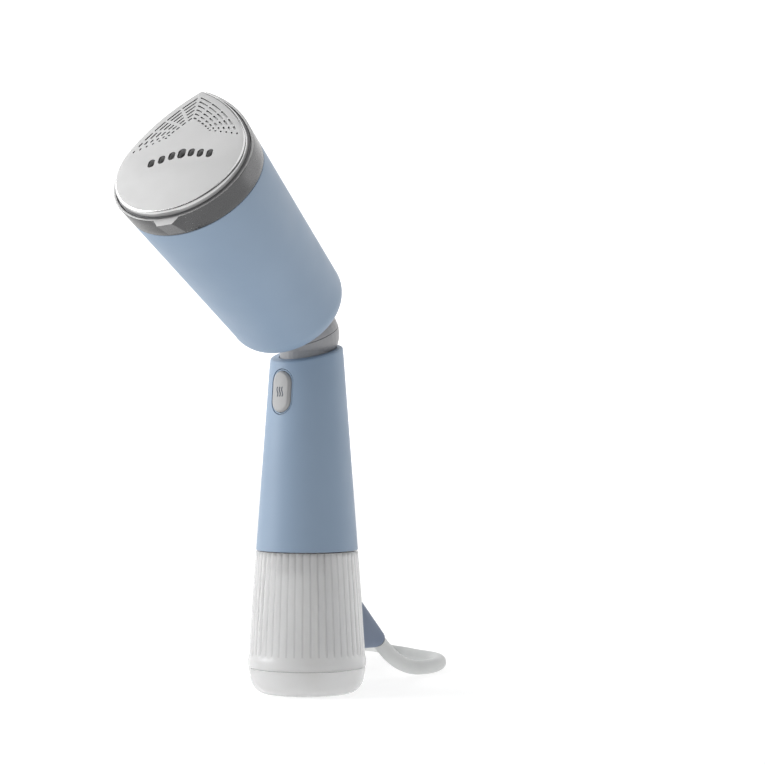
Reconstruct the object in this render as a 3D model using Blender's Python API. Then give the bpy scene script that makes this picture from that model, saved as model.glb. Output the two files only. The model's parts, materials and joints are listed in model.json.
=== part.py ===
"""Handheld garment steamer, standing on its water tank with the head bent forward.

The origin is the centre of the tank's foot, on the surface that the steamer stands on.
+Z is up and the steam button faces -Y. The head turns on a hollow ball whose axis leans
forward, so that half a turn takes the head from bent to straight.
"""

import math

import bmesh
import bpy
import numpy as np
from mathutils import Matrix, Vector

MM = 0.001
GAP = 0.3 * MM

# Handle: a straight taper from the tank up to a slanted top.
SLEEVE_LOW_Z = 78.5 * MM
SLEEVE_LOW_R = 28.0 * MM
SLEEVE_TAPER = 0.0737
SLEEVE_WALL = 2.2 * MM
SLEEVE_TOP_Z = 187.0 * MM
SLEEVE_TOP_SLOPE = 0.245
SLEEVE_HEIGHT_LIMIT = 200.0 * MM

# Swivel: the ball, its leaning axis and how the head stands at rest.
BALL_Z = 197.0 * MM
BALL_R = 17.8 * MM
SWIVEL_LEAN = math.radians(24)
HEAD_TILT = math.radians(49.3)
REST_TURN = math.radians(18.6)

# Head: distances along its own axis from the centre of the ball.
HEAD_REAR = 16.3 * MM
HEAD_FILLET = 13.2 * MM
SHELL_FRONT = 138.0 * MM
RING_FRONT = 152.0 * MM
FACE_FRONT = 156.0 * MM
HEAD_WALL = 2.2 * MM
# Its outline is round at the rear and a pointed egg at the face.
REAR_R = 32.5 * MM
REAR_DROP = -3.4 * MM
FACE_R = 39.4 * MM
FACE_TIP = 56.4 * MM
FACE_DROP = -22.3 * MM
SHOULDER = 0.433
TIP_MITRE = 1.21

# Button: a stadium on the front of the handle.
BUTTON_Z = 165.5 * MM
BUTTON_HALF_W = 6.25 * MM
BUTTON_HALF_H = 11.25 * MM
BUTTON_PROUD = 1.1 * MM

# Tank: a hollow cone with a rear groove for the spine, and a rounded cup below it.
TANK_SIDE = [(32.15, 14.3), (32.4, 18.0), (31.1, 34.0), (29.9, 53.0), (27.95, 78.2)]
TANK_WALL = 1.8 * MM
TANK_DECK_Z = 76.2 * MM
CUP_TOP_Z = 14.0 * MM
CUP_TOP_R = 32.1 * MM
FOOT_R = 23.5 * MM
GROOVE_HALF_W = 8.3 * MM
GROOVE_Y = 20.2 * MM
MOUTH_Y = -1.5 * MM
MOUTH_R = 17.6 * MM
WATER_LINE_Y = 5.0 * MM

# Cord: 1.85 m long, led straight out at the back and folded away behind the tank.
CORD_R = 4.2 * MM
CORD_STEP = 20 * MM
CORD_ROUTE = [
    (0, 61.2, 23.2),
    (0, 67.5, 17.6),
    (-0.5, 77, 11.3),
    (-1.5, 88, 7),
    (-3, 100, 4.8),
    (-4.5, 113, 4.3),
    (-9.5, 126.5, 4.3),
    (-17, 137, 4.3),
    (-27.5, 145, 4.3),
    (-43.5, 150, 4.3),
    (-58.5, 156, 4.3),
    (-74.5, 161, 4.3),
    (-92, 175.5, 4.3),
    (-108, 184.5, 4.3),
    (-126, 184.5, 4.3),
    (-140.5, 176.5, 4.3),
    (-150, 162, 4.3),
    (-151.5, 142.5, 4.3),
    (-143.5, 124.5, 4.3),
]
# The hank: its middle, the way its runs point, and its outline, drawn in where it is tied.
HANK_X = -75.8 * MM
HANK_Y = 86.5 * MM
HANK_TURN = math.radians(40)
HANK_HALF_RUN = 50.0 * MM
HANK_END_R = 30.0 * MM
HANK_WAIST = 15.0 * MM
HANK_LOW = 1.6 * MM
HANK_HIGH = 45.6 * MM
# The plug lies on the hank, a little to one side.
PLUG_X = -6.0 * MM
PLUG_HALF_H = 10.0 * MM
PLUG_Z = HANK_HIGH + GAP + PLUG_HALF_H

BALL = Vector((0, 0, BALL_Z))
SWIVEL_AXIS = Vector((0, -math.sin(SWIVEL_LEAN), math.cos(SWIVEL_LEAN)))


# Materials -------------------------------------------------------------------------


def finish(name, colour, roughness, metallic=0.0, transmission=0.0):
    material = bpy.data.materials.new(name)
    material.use_nodes = True
    shader = material.node_tree.nodes["Principled BSDF"]
    shader.inputs["Base Color"].default_value = (*colour, 1.0)
    shader.inputs["Roughness"].default_value = roughness
    shader.inputs["Metallic"].default_value = metallic
    shader.inputs["Transmission Weight"].default_value = transmission
    return material


def blue():
    return finish("blue_plastic", (0.30, 0.42, 0.58), 0.45)


def grey():
    return finish("grey_plastic", (0.30, 0.29, 0.27), 0.4)


def satin_steel():
    return finish("satin_steel", (0.62, 0.62, 0.61), 0.28, 1.0)


def aluminium():
    return finish("cast_aluminium", (0.66, 0.66, 0.67), 0.5, 1.0)


def brass():
    return finish("brass", (0.72, 0.53, 0.24), 0.3, 1.0)


def zinc():
    return finish("zinc_steel", (0.56, 0.57, 0.58), 0.35, 1.0)


def black():
    return finish("black_plastic", (0.03, 0.03, 0.035), 0.5)


def silicone():
    return finish("silicone", (0.72, 0.70, 0.66), 0.6)


def frosted():
    return finish("frosted_plastic", (0.80, 0.82, 0.83), 0.3, 0.0, 0.6)


def cord_grey():
    return finish("cord_grey", (0.52, 0.53, 0.54), 0.5)


def board_green():
    return finish("board_green", (0.05, 0.22, 0.12), 0.5)


# Shapes ----------------------------------------------------------------------------


def empty(name, matrix):
    marker = bpy.data.objects.new(name, None)
    bpy.context.scene.collection.objects.link(marker)
    marker.matrix_world = matrix
    return marker


def add(name, bm, material=None, parent=None, cutter=False):
    """Makes an object of the mesh. A cutter only shapes another object."""
    bmesh.ops.recalc_face_normals(bm, faces=bm.faces)
    mesh = bpy.data.meshes.new(name)
    bm.to_mesh(mesh)
    bm.free()
    mesh.shade_smooth()
    mesh.set_sharp_from_angle(angle=math.radians(35))
    body = bpy.data.objects.new(name, mesh)
    bpy.context.scene.collection.objects.link(body)
    body.parent = parent
    if material:
        mesh.materials.append(material)
    if cutter:
        body.hide_render = True
        body.display_type = "WIRE"
    return body


def shape(body, bm, label, parent=None, operation="DIFFERENCE"):
    """Cuts, joins or keeps the common part of a body and the mesh. Returns the cutter."""
    tool = add(f"{body.name}_{label}", bm, None, parent, cutter=True)
    modifier = body.modifiers.new(label, "BOOLEAN")
    modifier.operation = operation
    modifier.object = tool
    return tool


def lathe(profile, segments=32, centre=(0, 0)):
    """A body turned about Z from (radius, height) corners in millimetres.

    A profile that starts on the axis is solid there, and any other is a closed loop.
    """
    bm = bmesh.new()
    corners = [bm.verts.new((r * MM, 0, z * MM)) for r, z in profile]
    pairs = list(zip(corners, corners[1:]))
    if profile[0][0] > 0:
        pairs.append((corners[-1], corners[0]))
    edges = [bm.edges.new(pair) for pair in pairs]
    bmesh.ops.spin(
        bm, geom=corners + edges, cent=(0, 0, 0), axis=(0, 0, 1), angle=2 * math.pi, steps=segments
    )
    bmesh.ops.remove_doubles(bm, verts=bm.verts, dist=1e-6)
    bmesh.ops.translate(bm, verts=bm.verts, vec=(centre[0] * MM, centre[1] * MM, 0))
    return bm


def rod(radius, low, high, segments=16, centre=(0, 0)):
    return lathe([(0, low), (radius, low), (radius, high), (0, high)], segments, centre)


def pipe(inner, outer, low, high, segments=24, centre=(0, 0)):
    return lathe([(inner, low), (outer, low), (outer, high), (inner, high)], segments, centre)


def loft(rings, closed=False):
    """Skins rings of equal point counts. Closed joins the last ring to the first."""
    bm = bmesh.new()
    rows = [[bm.verts.new(point) for point in ring] for ring in rings]
    count = len(rows[0])
    joined = list(zip(rows, rows[1:]))
    if closed:
        joined.append((rows[-1], rows[0]))
    for low, high in joined:
        for i in range(count):
            j = (i + 1) % count
            bm.faces.new((low[i], low[j], high[j], high[i]))
    if not closed:
        bm.faces.new(rows[0])
        bm.faces.new(rows[-1])
    return bm


def prism(outline, low, high):
    """Extrudes an outline in millimetres along Z."""
    return loft([[(x * MM, y * MM, z * MM) for x, y in outline] for z in (low, high)])


def side_prism(outline, half_width):
    """Extrudes a (y, z) outline in millimetres along X, the same way to both sides."""
    return loft(
        [[(x * MM, y * MM, z * MM) for y, z in outline] for x in (-half_width, half_width)]
    )


def box(x, y, z):
    """A block from three (low, high) pairs in millimetres."""
    return prism([(x[0], y[0]), (x[1], y[0]), (x[1], y[1]), (x[0], y[1])], *z)


def stadium(half_width, half_height, steps=8):
    """Two half rounds joined by straight sides, in millimetres."""
    run = half_height - half_width
    outline = []
    for i in range(2 * steps + 2):
        angle = math.pi * (i - (i > steps)) / steps
        lift = run if i <= steps else -run
        outline.append((half_width * math.cos(angle), lift + half_width * math.sin(angle)))
    return outline


def arc(centre, radius, start, end, steps):
    """Corners along an arc in millimetres, angles in degrees."""
    corners = []
    for i in range(steps + 1):
        angle = math.radians(start + (end - start) * i / steps)
        corners.append((centre[0] + radius * math.cos(angle), centre[1] + radius * math.sin(angle)))
    return corners


def smooth_route(points, step):
    """Points about a step apart on a natural cubic spline through the given ones."""
    knots = np.array(points, float)
    spans = np.linalg.norm(np.diff(knots, axis=0), axis=1)
    places = np.concatenate([[0.0], np.cumsum(spans)])
    slopes = np.diff(knots, axis=0) / spans[:, None]
    system = np.eye(len(knots))
    bends = np.zeros_like(knots)
    for i in range(1, len(knots) - 1):
        system[i, i - 1 : i + 2] = spans[i - 1], 2 * (spans[i - 1] + spans[i]), spans[i]
        bends[i] = 6 * (slopes[i] - slopes[i - 1])
    bends = np.linalg.solve(system, bends)

    at = np.linspace(0, places[-1], max(2, round(places[-1] / step) + 1))
    span = np.clip(np.searchsorted(places, at, side="right") - 1, 0, len(spans) - 1)
    wide = spans[span][:, None]
    after = (at - places[span])[:, None]
    before = wide - after
    curve = (bends[span] * before**3 + bends[span + 1] * after**3) / (6 * wide)
    curve += (knots[span] / wide - bends[span] * wide / 6) * before
    curve += (knots[span + 1] / wide - bends[span + 1] * wide / 6) * after
    return curve


def tube(name, points, radius, material, parent=None, step=8 * MM, sides=2):
    """A round tube along a smooth curve through points in millimetres."""
    route = smooth_route([Vector(p) * MM for p in points], step)
    curve = bpy.data.curves.new(name, "CURVE")
    curve.dimensions = "3D"
    curve.bevel_depth = radius
    curve.bevel_resolution = sides
    curve.use_fill_caps = True
    spline = curve.splines.new("POLY")
    spline.points.add(len(route) - 1)
    for point, place in zip(spline.points, route):
        point.co = (*place, 1)
    curve.materials.append(material)
    body = bpy.data.objects.new(name, curve)
    bpy.context.scene.collection.objects.link(body)
    body.parent = parent
    return body


# Outlines that several pieces share --------------------------------------------------


def sleeve_radius(z, outset=0.0):
    return SLEEVE_LOW_R - (z - SLEEVE_LOW_Z) * SLEEVE_TAPER + outset


def sleeve_cone(low, high, outset, segments=40):
    """The handle's taper between two heights, solid, moved outwards by an outset."""
    low_r = sleeve_radius(low, outset) / MM
    high_r = sleeve_radius(high, outset) / MM
    return lathe([(0, low / MM), (low_r, low / MM), (high_r, high / MM), (0, high / MM)], segments)


def above_sleeve_top(drop=0.0):
    """A block above the handle's slanted top, or above a plane a drop below it."""
    reach = 60
    rise = reach * SLEEVE_TOP_SLOPE
    middle = (SLEEVE_TOP_Z - drop) / MM
    return side_prism([(-reach, middle - rise), (reach, middle + rise), (reach, 300), (-reach, 300)], 60)


def egg(radius, tip, centre_y, z, steps=8):
    """A ring at height z: round below, with two arcs that meet in a point at the top."""
    lean = math.sin(SHOULDER)
    side_r = (radius**2 - 2 * radius * tip * lean + tip**2) / (2 * (radius - tip * lean))
    side_x = (radius - side_r) * math.cos(SHOULDER)
    side_y = (radius - side_r) * math.sin(SHOULDER)
    tip_angle = math.atan2(tip - side_y, -side_x)
    right = []
    for i in range(steps + 1):
        angle = -math.pi / 2 + (SHOULDER + math.pi / 2) * i / steps
        right.append((radius * math.cos(angle), radius * math.sin(angle)))
    for i in range(1, steps + 1):
        angle = SHOULDER + (tip_angle - SHOULDER) * i / steps
        right.append((side_x + side_r * math.cos(angle), side_y + side_r * math.sin(angle)))
    left = [(-x, y) for x, y in reversed(right[1:-1])]
    return [Vector((x, centre_y + y, z)) for x, y in right + left]


def head_ring(z, inset=0.0):
    """The head's outline at a distance along its axis, moved inwards by an inset."""
    share = max(0.0, (z - HEAD_REAR - HEAD_FILLET) / (FACE_FRONT - HEAD_REAR - HEAD_FILLET))
    radius = REAR_R + (FACE_R - REAR_R) * share
    tip = REAR_R + (FACE_TIP - REAR_R) * share
    mitre = 1 + (TIP_MITRE - 1) * share
    drop = REAR_DROP + (FACE_DROP - REAR_DROP) * share
    return egg(radius - inset, tip - inset * mitre, drop, z)


def round_ring(radius, z):
    """A round ring about the head's axis with as many points as its outline."""
    return egg(radius, radius, 0.0, z)


# Handle ----------------------------------------------------------------------------


def build_sleeve(ball_frame, button_frame):
    shell = add(
        "handle_shell", sleeve_cone(SLEEVE_LOW_Z, SLEEVE_HEIGHT_LIMIT, 0.0), blue()
    )
    shape(shell, above_sleeve_top(), "slant")
    hollow = shape(shell, sleeve_cone(SLEEVE_LOW_Z - MM, SLEEVE_HEIGHT_LIMIT, -SLEEVE_WALL), "hollow")
    shape(hollow, above_sleeve_top(drop=2.0 * MM), "cap")
    shape(shell, rod(15.2, 175, 200, 32), "neck_hole")
    seat = (BALL_R + GAP) / MM
    shape(shell, lathe([(0, -seat), *arc((0, 0), seat, -70, 70, 10), (0, seat)], 32), "seat", ball_frame)
    opening = stadium(BUTTON_HALF_W / MM + 1.3, BUTTON_HALF_H / MM + 1.3)
    shape(shell, prism(opening, 12, 30), "button_hole", button_frame)


def build_button(button_frame):
    half_w = BUTTON_HALF_W / MM
    half_h = BUTTON_HALF_H / MM
    button = add("steam_button", prism(stadium(half_w, half_h), 16, 26), grey(), button_frame)
    front = sleeve_cone(SLEEVE_LOW_Z, SLEEVE_HEIGHT_LIMIT, BUTTON_PROUD)
    shape(button, front, "front", operation="INTERSECT")
    flange = prism(stadium(half_w + 2.2, half_h + 2.2), 15.3, 16.8)
    shape(button, flange, "flange", button_frame, "UNION")
    shape(button, box((-2, 2), (-2, 2), (13.6, 15.6)), "boss", button_frame, "UNION")

    seal = add("button_seal", prism(stadium(half_w + 1.0, half_h + 1.0), 17.2, 26), black(), button_frame)
    shape(seal, sleeve_cone(SLEEVE_LOW_Z, SLEEVE_HEIGHT_LIMIT, -GAP), "front", operation="INTERSECT")
    shape(seal, prism(stadium(half_w + 0.3, half_h + 0.3), 10, 30), "hole", button_frame)

    switch = add("microswitch", box((-3.2, 3.2), (-11, -4.7), (159, 172)), black())
    shape(switch, box((-1.7, 1.7), (-12, -8.6), (163.8, 167.2)), "pocket")
    add("switch_plunger", box((-1.3, 1.3), (-13.3, -10.6), (164.2, 166.8)), brass())


def build_frame(ball_frame):
    """The inner frame: two rails, a foot on the dock, a board plate and a top plate."""
    frame = add("inner_frame", box((-17.6, 17.6), (-2.4, -0.6), (139, 179.7)), black())
    for side in (-1, 1):
        rail = sorted((15.6 * side, 17.6 * side))
        shape(frame, box(rail, (-2.4, -0.6), (83, 140)), f"rail_{side}", operation="UNION")
    shape(frame, box((-17.6, 17.6), (-16.8, -0.6), (82.6, 84.4)), "foot", operation="UNION")
    shape(frame, box((-11.5, 11.5), (-11.5, -0.6), (177.9, 179.7)), "top", operation="UNION")
    shape(frame, rod(11.2, -50, -8, 24), "swivel_room", ball_frame)
    places = [("dock", 14.8, -14.6), ("dock", -14.8, -14.6), ("neck", 8, -9.5), ("neck", -8, -9.5)]
    for label, x, y in places:
        low, high = (80, 90) if label == "dock" else (170, 185)
        shape(frame, rod(1.5, low, high, 12, (x, y)), f"{label}_hole_{x}")

    for number, side in ((1, 1), (2, -1)):
        screw = [(0, 79.6), (1.2, 79.6), (1.2, 84.7), (2.6, 84.7), (2.6, 86.5), (0, 86.5)]
        add(f"dock_screw_{number}", lathe(screw, 12, (14.8 * side, -14.6)), zinc())
        screw = [(0, 175.8), (2.6, 175.8), (2.6, 177.6), (1.2, 177.6), (1.2, 185), (0, 185)]
        add(f"neck_base_screw_{number}", lathe(screw, 12, (8 * side, -9.5)), zinc())


def build_electrics():
    add("control_board", box((-11, 11), (-4.4, -2.8), (142, 172)), board_green())
    add("board_relay", box((-8, 8), (-13.2, -4.7), (142.5, 152)), black())


def build_pump():
    axis = (0, WATER_LINE_Y / MM)
    profile = [(0, 94.9), (2.6, 94.9), (2.6, 97), (9, 97), (9, 102.2), (6.5, 102.2), (6.5, 129)]
    profile += [(9, 129), (9, 134), (2.6, 134), (2.6, 138), (0, 138)]
    add("water_pump", lathe(profile, 24, axis), black())
    coil = add("pump_coil", box((-13, 13), (-7, 17), (104.3, 126.7)), brass())
    shape(coil, rod(6.8, 95, 140, 24, axis), "core")
    yoke = add("pump_yoke", box((-14.8, -13.3), (-5, 15), (102.5, 128.5)), zinc())
    for label, low in (("low", 102.5), ("high", 127.0)):
        shape(yoke, box((-14, 12), (-5, 15), (low, low + 1.5)), label, operation="UNION")
    shape(yoke, rod(6.8, 95, 140, 24, axis), "core")
    tube("suction_hose", [(0, 5, 87.5), (0, 5, 91), (0, 5, 94.6)], 2.6 * MM, silicone(), step=4 * MM)
    route = [(0, 5, 138.3), (0, 5.4, 147), (0, 9, 157), (0, 13, 167.6), (0, 11.12, 172)]
    tube("lower_water_hose", route, 2.5 * MM, silicone(), step=5 * MM)


# Swivel ----------------------------------------------------------------------------


def build_swivel(ball_frame, head_frame):
    """Both halves of the hollow ball and what holds them together, along the swivel axis."""
    ball = BALL_R / MM
    half_gap = GAP / 2 / MM

    neck = add("neck_lower", rod(14.9, 180, 187.5, 32), grey())
    bowl = [(8, -half_gap), (math.sqrt(ball**2 - half_gap**2), -half_gap)]
    bowl += arc((0, 0), ball, -4, -50, 7)
    bowl += [(8, -13.6)]
    shape(neck, lathe(bowl, 32), "bowl", ball_frame, "UNION")
    bore = [(0, 2), (9.6, 2), (9.6, -8), (10.8, -8), (10.8, -40), (0, -40)]
    shape(neck, lathe(bore, 32), "bore", ball_frame)
    for side in (-1, 1):
        shape(neck, rod(1.5, 175, 185.3, 12, (8 * side, -9.5)), f"screw_hole_{side}")

    upper = [(0, half_gap), (math.sqrt(ball**2 - half_gap**2), half_gap)]
    upper += arc((0, 0), ball, 4, 76, 10)
    upper += [(0, ball)]
    neck = add("neck_upper", lathe(upper, 32), grey(), head_frame["ball"])
    stem = [(0, 8), (13, 8), (13, 19), (18.4, 19), (18.4, 21.3), (0, 21.3)]
    shape(neck, lathe(stem, 32), "stem", head_frame["axis"], "UNION")
    shape(neck, lathe([(0, -1), (7.9, -1), (7.9, 9), (5.8, 9), (5.8, 12), (0, 12)], 32), "bore", head_frame["ball"])
    shape(neck, rod(6.5, 5.2, 25, 24), "passage", head_frame["axis"])
    for x, y in NECK_SCREWS:
        shape(neck, rod(1.5, 17, 25, 12, (x, y)), f"screw_hole_{x}", head_frame["axis"])

    axle = [(5.6, 8.7), (7.6, 8.7), (7.6, -10.2), (6.9, -10.2), (6.9, -11.8), (7.6, -11.8)]
    axle += [(7.6, -12.8), (5.6, -12.8)]
    add("swivel_axle", lathe(axle, 24), zinc(), head_frame["ball"])
    bush = [(7.9, -0.4), (9.3, -0.4), (9.3, -8.3), (10.5, -8.3), (10.5, -9.3), (7.9, -9.3)]
    add("swivel_bush", lathe(bush, 24), black(), ball_frame)
    add("friction_washer", pipe(7.9, 10.4, -10.1, -9.6, 24), zinc(), ball_frame)
    clip = add("retaining_clip", pipe(7.2, 10.2, -11.4, -10.5, 24), zinc(), head_frame["ball"])
    shape(clip, box((-3, 3), (5, 12), (-13, -9)), "slot", head_frame["ball"])

    coupling = [(1.5, 3), (2.6, 3), (2.6, -14), (10.4, -14), (10.4, -15.6), (2.6, -15.6)]
    coupling += [(2.6, -27), (1.5, -27)]
    coupling = add("rotary_coupling", lathe(coupling, 24), brass(), ball_frame)
    for side in (-1, 1):
        shape(coupling, rod(2.2, -20, -10, 12, (6.4 * side, 0)), f"lead_hole_{side}", ball_frame)


# Head ------------------------------------------------------------------------------

# Places in millimetres across the head's axis.
NECK_SCREWS = [(0, -16), (14, 8), (-14, 8)]
CHAMBER = (0, -20.5)
CHAMBER_R = 31
NOZZLE = (0, -12)


def cover_screw_places():
    for degrees in (90, 210, 330):
        angle = math.radians(degrees)
        yield (CHAMBER[0] + 28 * math.cos(angle), CHAMBER[1] + 28 * math.sin(angle))


def build_head_shell(axis):
    shoulder = HEAD_REAR + HEAD_FILLET
    middle = (shoulder + SHELL_FRONT) / 2
    rings = []
    for i in range(5):
        turn = math.pi / 2 * (1 - i / 4)
        rings.append(
            head_ring(shoulder - HEAD_FILLET * math.sin(turn), HEAD_FILLET * (1 - math.cos(turn)))
        )
    rings += [head_ring(middle), head_ring(SHELL_FRONT)]
    rings += [head_ring(SHELL_FRONT, HEAD_WALL), head_ring(middle, HEAD_WALL)]
    inner_fillet = HEAD_FILLET - HEAD_WALL
    for i in range(5):
        turn = math.pi / 2 * i / 4
        inset = HEAD_WALL + inner_fillet * (1 - math.cos(turn))
        rings.append(head_ring(shoulder - inner_fillet * math.sin(turn), inset))
    hole = 13.3 * MM
    rings += [round_ring(hole, HEAD_REAR + HEAD_WALL), round_ring(hole, HEAD_REAR)]
    shell = add("head_shell", loft(rings, closed=True), blue(), axis)
    for number, (x, y) in enumerate(NECK_SCREWS, 1):
        shape(shell, rod(1.5, 17, 25, 12, (x, y)), f"screw_hole_{number}", axis)
        screw = [(0, 17.3), (1.2, 17.3), (1.2, 21.6), (2.6, 21.6), (2.6, 23.4), (0, 23.4)]
        add(f"neck_screw_{number}", lathe(screw, 12, (x, y)), zinc(), axis)


def build_face(axis):
    """The band, the insulating ring inside it and the soleplate that stands out of it."""
    low = SHELL_FRONT + GAP
    inset = 1.4 * MM
    rings = [head_ring(low), head_ring(RING_FRONT), head_ring(RING_FRONT, inset), head_ring(low, inset)]
    ring = add("trim_ring", loft(rings, closed=True), satin_steel(), axis)
    shape(ring, lug(), "lug", axis, "UNION")

    low, high = 140 * MM, 151.5 * MM
    outer, inner = 1.7 * MM, 4.4 * MM
    rings = [head_ring(low, outer), head_ring(high, outer), head_ring(high, inner), head_ring(low, inner)]
    add("insulator_ring", loft(rings, closed=True), black(), axis)

    rings = [
        head_ring(FACE_FRONT, 2.6 * MM),
        head_ring(RING_FRONT, 2.6 * MM),
        head_ring(RING_FRONT, 4.7 * MM),
        head_ring(144 * MM, 4.7 * MM),
        head_ring(144 * MM, 6.9 * MM),
        head_ring(152.8 * MM, 6.9 * MM),
    ]
    plate = add("soleplate", loft(rings), satin_steel(), axis)
    centre_y = FACE_DROP / MM
    holes = [(0, 5.2, 1.9, 3.2), (5.6, 4.7, 1.5, 2.6), (11.1, 3.2, 1.5, 2.6), (16.7, 1.7, 1.5, 2.6)]
    for i, (x, y, half_w, half_h) in enumerate(holes):
        for side in (-1, 1) if x else (1,):
            outline = [(x * side + a, centre_y + y + b) for a, b in stadium(half_w, half_h, 5)]
            shape(plate, prism(outline, 151, 158), f"steam_hole_{side * i}", axis)


def lug():
    """A wedge on the lower side of the band, widest and highest at the front."""
    front = [(-7.2, -60.1), (7.2, -60.1), (4.2, -64.8), (-4.2, -64.8)]
    rear = [(-4.8, -57.5), (4.8, -57.5), (4.8, -58.4), (-4.8, -58.4)]
    rings = ((front, RING_FRONT / MM), (rear, 139.5))
    return loft([[(x * MM, y * MM, z * MM) for x, y in ring] for ring, z in rings])


def build_chamber(axis):
    """The steam chamber behind the soleplate, its cover and the parts that heat it."""
    profile = [(0, 140.5), (25, 140.5), (25, 125), (CHAMBER_R, 125), (CHAMBER_R, 144.3), (0, 144.3)]
    chamber = add("steam_chamber", lathe(profile, 32, CHAMBER), aluminium(), axis)
    for i, (x, y) in enumerate([(-12, -20.5), (0, -26), (12, -20.5)]):
        shape(chamber, rod(2, 138, 146, 10, (x, y)), f"steam_way_{i}", axis)
    gasket = add("chamber_gasket", pipe(25, CHAMBER_R, 123.4, 124.7, 32, CHAMBER), silicone(), axis)
    cover = add("chamber_cover", rod(CHAMBER_R, 120.7, 123.1, 32, CHAMBER), aluminium(), axis)
    shape(cover, rod(3.1, 118, 128, 12, NOZZLE), "nozzle_hole", axis)
    for number, place in enumerate(cover_screw_places(), 1):
        for piece, label in ((chamber, "a"), (gasket, "b"), (cover, "c")):
            shape(piece, rod(1.5, 119, 132, 12, place), f"screw_hole_{label}{number}", axis)
        screw = [(0, 118.6), (2.7, 118.6), (2.7, 120.4), (1.2, 120.4), (1.2, 131), (0, 131)]
        add(f"cover_screw_{number}", lathe(screw, 12, place), zinc(), axis)

    # The heater follows the soleplate's rim, open at the tip.
    ring = egg(27 * MM, 37 * MM, FACE_DROP, 148.2 * MM, steps=8)
    tip = len(ring) // 2
    ends = [ring[(tip + 2 + i) % len(ring)] for i in range(len(ring) - 3)]
    tube("heating_element", [p / MM for p in ends], 2.8 * MM, zinc(), axis, step=7 * MM)

    can = [(0, 112), (7.6, 112), (7.6, 118.6), (9.4, 118.6), (9.4, 120.4), (0, 120.4)]
    add("thermostat", lathe(can, 20, (12, -30)), aluminium(), axis)
    tube("thermal_fuse", [(-18, -30, 118), (-11, -30, 118), (-4, -30, 118)], 2.1 * MM, zinc(), axis)
    nozzle = [(0, 107), (2.2, 107), (2.2, 116), (5, 116), (5, 120.4), (2.8, 120.4), (2.8, 127), (0, 127)]
    add("inlet_nozzle", lathe(nozzle, 12, NOZZLE), brass(), axis)


def build_head_lines(axis):
    """The water hose and the two heater leads, from the neck to the chamber."""
    route = [(0, 1.5, 3.6), (0, 2.6, 9), (0, 2.4, 18), (0, 0.5, 30), (0, -5, 55), (0, -11, 85), (0, -12, 106.7)]
    tube("upper_water_hose", route, 2.5 * MM, silicone(), axis, step=8 * MM)
    for number, side in ((1, 1), (2, -1)):
        route = [(3.6 * side, -2.4, 12), (3.6 * side, -2.4, 24), (5 * side, -8, 45)]
        route += [(9 * side, -20, 80), (11 * side, -29, 103), (11 * side, -30, 111.6)]
        if side < 0:
            route[-1] = (-11, -30, 115.5)
        tube(f"heater_lead_{number}", route, 1.1 * MM, silicone(), axis, step=9 * MM, sides=1)


# Tank ------------------------------------------------------------------------------


def tank_side(inset):
    return [(r - inset / MM, z) for r, z in TANK_SIDE]


def groove_block(more, low, high):
    """The room behind the tank for the spine, widened on every side."""
    half_w = GROOVE_HALF_W / MM + more
    return box((-half_w, half_w), (GROOVE_Y / MM - more, 60), (low, high))


def build_tank():
    mouth = (0, MOUTH_Y / MM)
    deck = TANK_DECK_Z / MM
    wall = TANK_WALL / MM
    profile = [(0, TANK_SIDE[0][1]), *TANK_SIDE, (0, TANK_SIDE[-1][1])]
    tank = add("water_tank", lathe(profile, 40), frosted())
    inner = tank_side(TANK_WALL)
    inner[0] = (inner[0][0], inner[0][1] - 1)
    inner[-1] = (inner[-1][0], deck)
    profile = [(0, inner[0][1]), *inner, (0, deck)]
    hollow = shape(tank, lathe(profile, 40), "hollow")
    shape(hollow, groove_block(wall, 0, 90), "keep_wall")
    shape(tank, rod(MOUTH_R / MM + wall, 66, 77, 32, mouth), "mouth_wall", operation="UNION")
    shape(tank, rod(MOUTH_R / MM, 60, 90, 32, mouth), "mouth")
    shape(tank, groove_block(0, 0, 90), "groove")

    top_r = CUP_TOP_R / MM
    top_z = CUP_TOP_Z / MM
    foot = FOOT_R / MM
    side = cup_side(foot, 0.0, top_r, top_z)
    profile = [(0, 0), *side, (30, top_z), (30, 17.5), (0, 17.5)]
    cup = add("tank_base", lathe(profile, 40), frosted())
    side = cup_side(foot - 1.5, 2.4, 28.6, 13.0)
    hollow = shape(cup, lathe([(0, 2.4), *side, (28.6, 18), (0, 18)], 40), "hollow")
    shape(hollow, groove_block(wall, -1, 90), "keep_wall")
    shape(cup, groove_block(0, -1, 90), "groove")
    shape(cup, groove_block(wall + 0.3, top_z, 20), "tank_wall_room")


def cup_side(low_r, low_z, high_r, high_z):
    """A quarter ellipse from the flat foot out to the widest ring, in millimetres."""
    corners = []
    for i in range(7):
        turn = math.pi / 2 * i / 6
        corners.append(
            (low_r + (high_r - low_r) * math.sin(turn), high_z - (high_z - low_z) * math.cos(turn))
        )
    return corners


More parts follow.
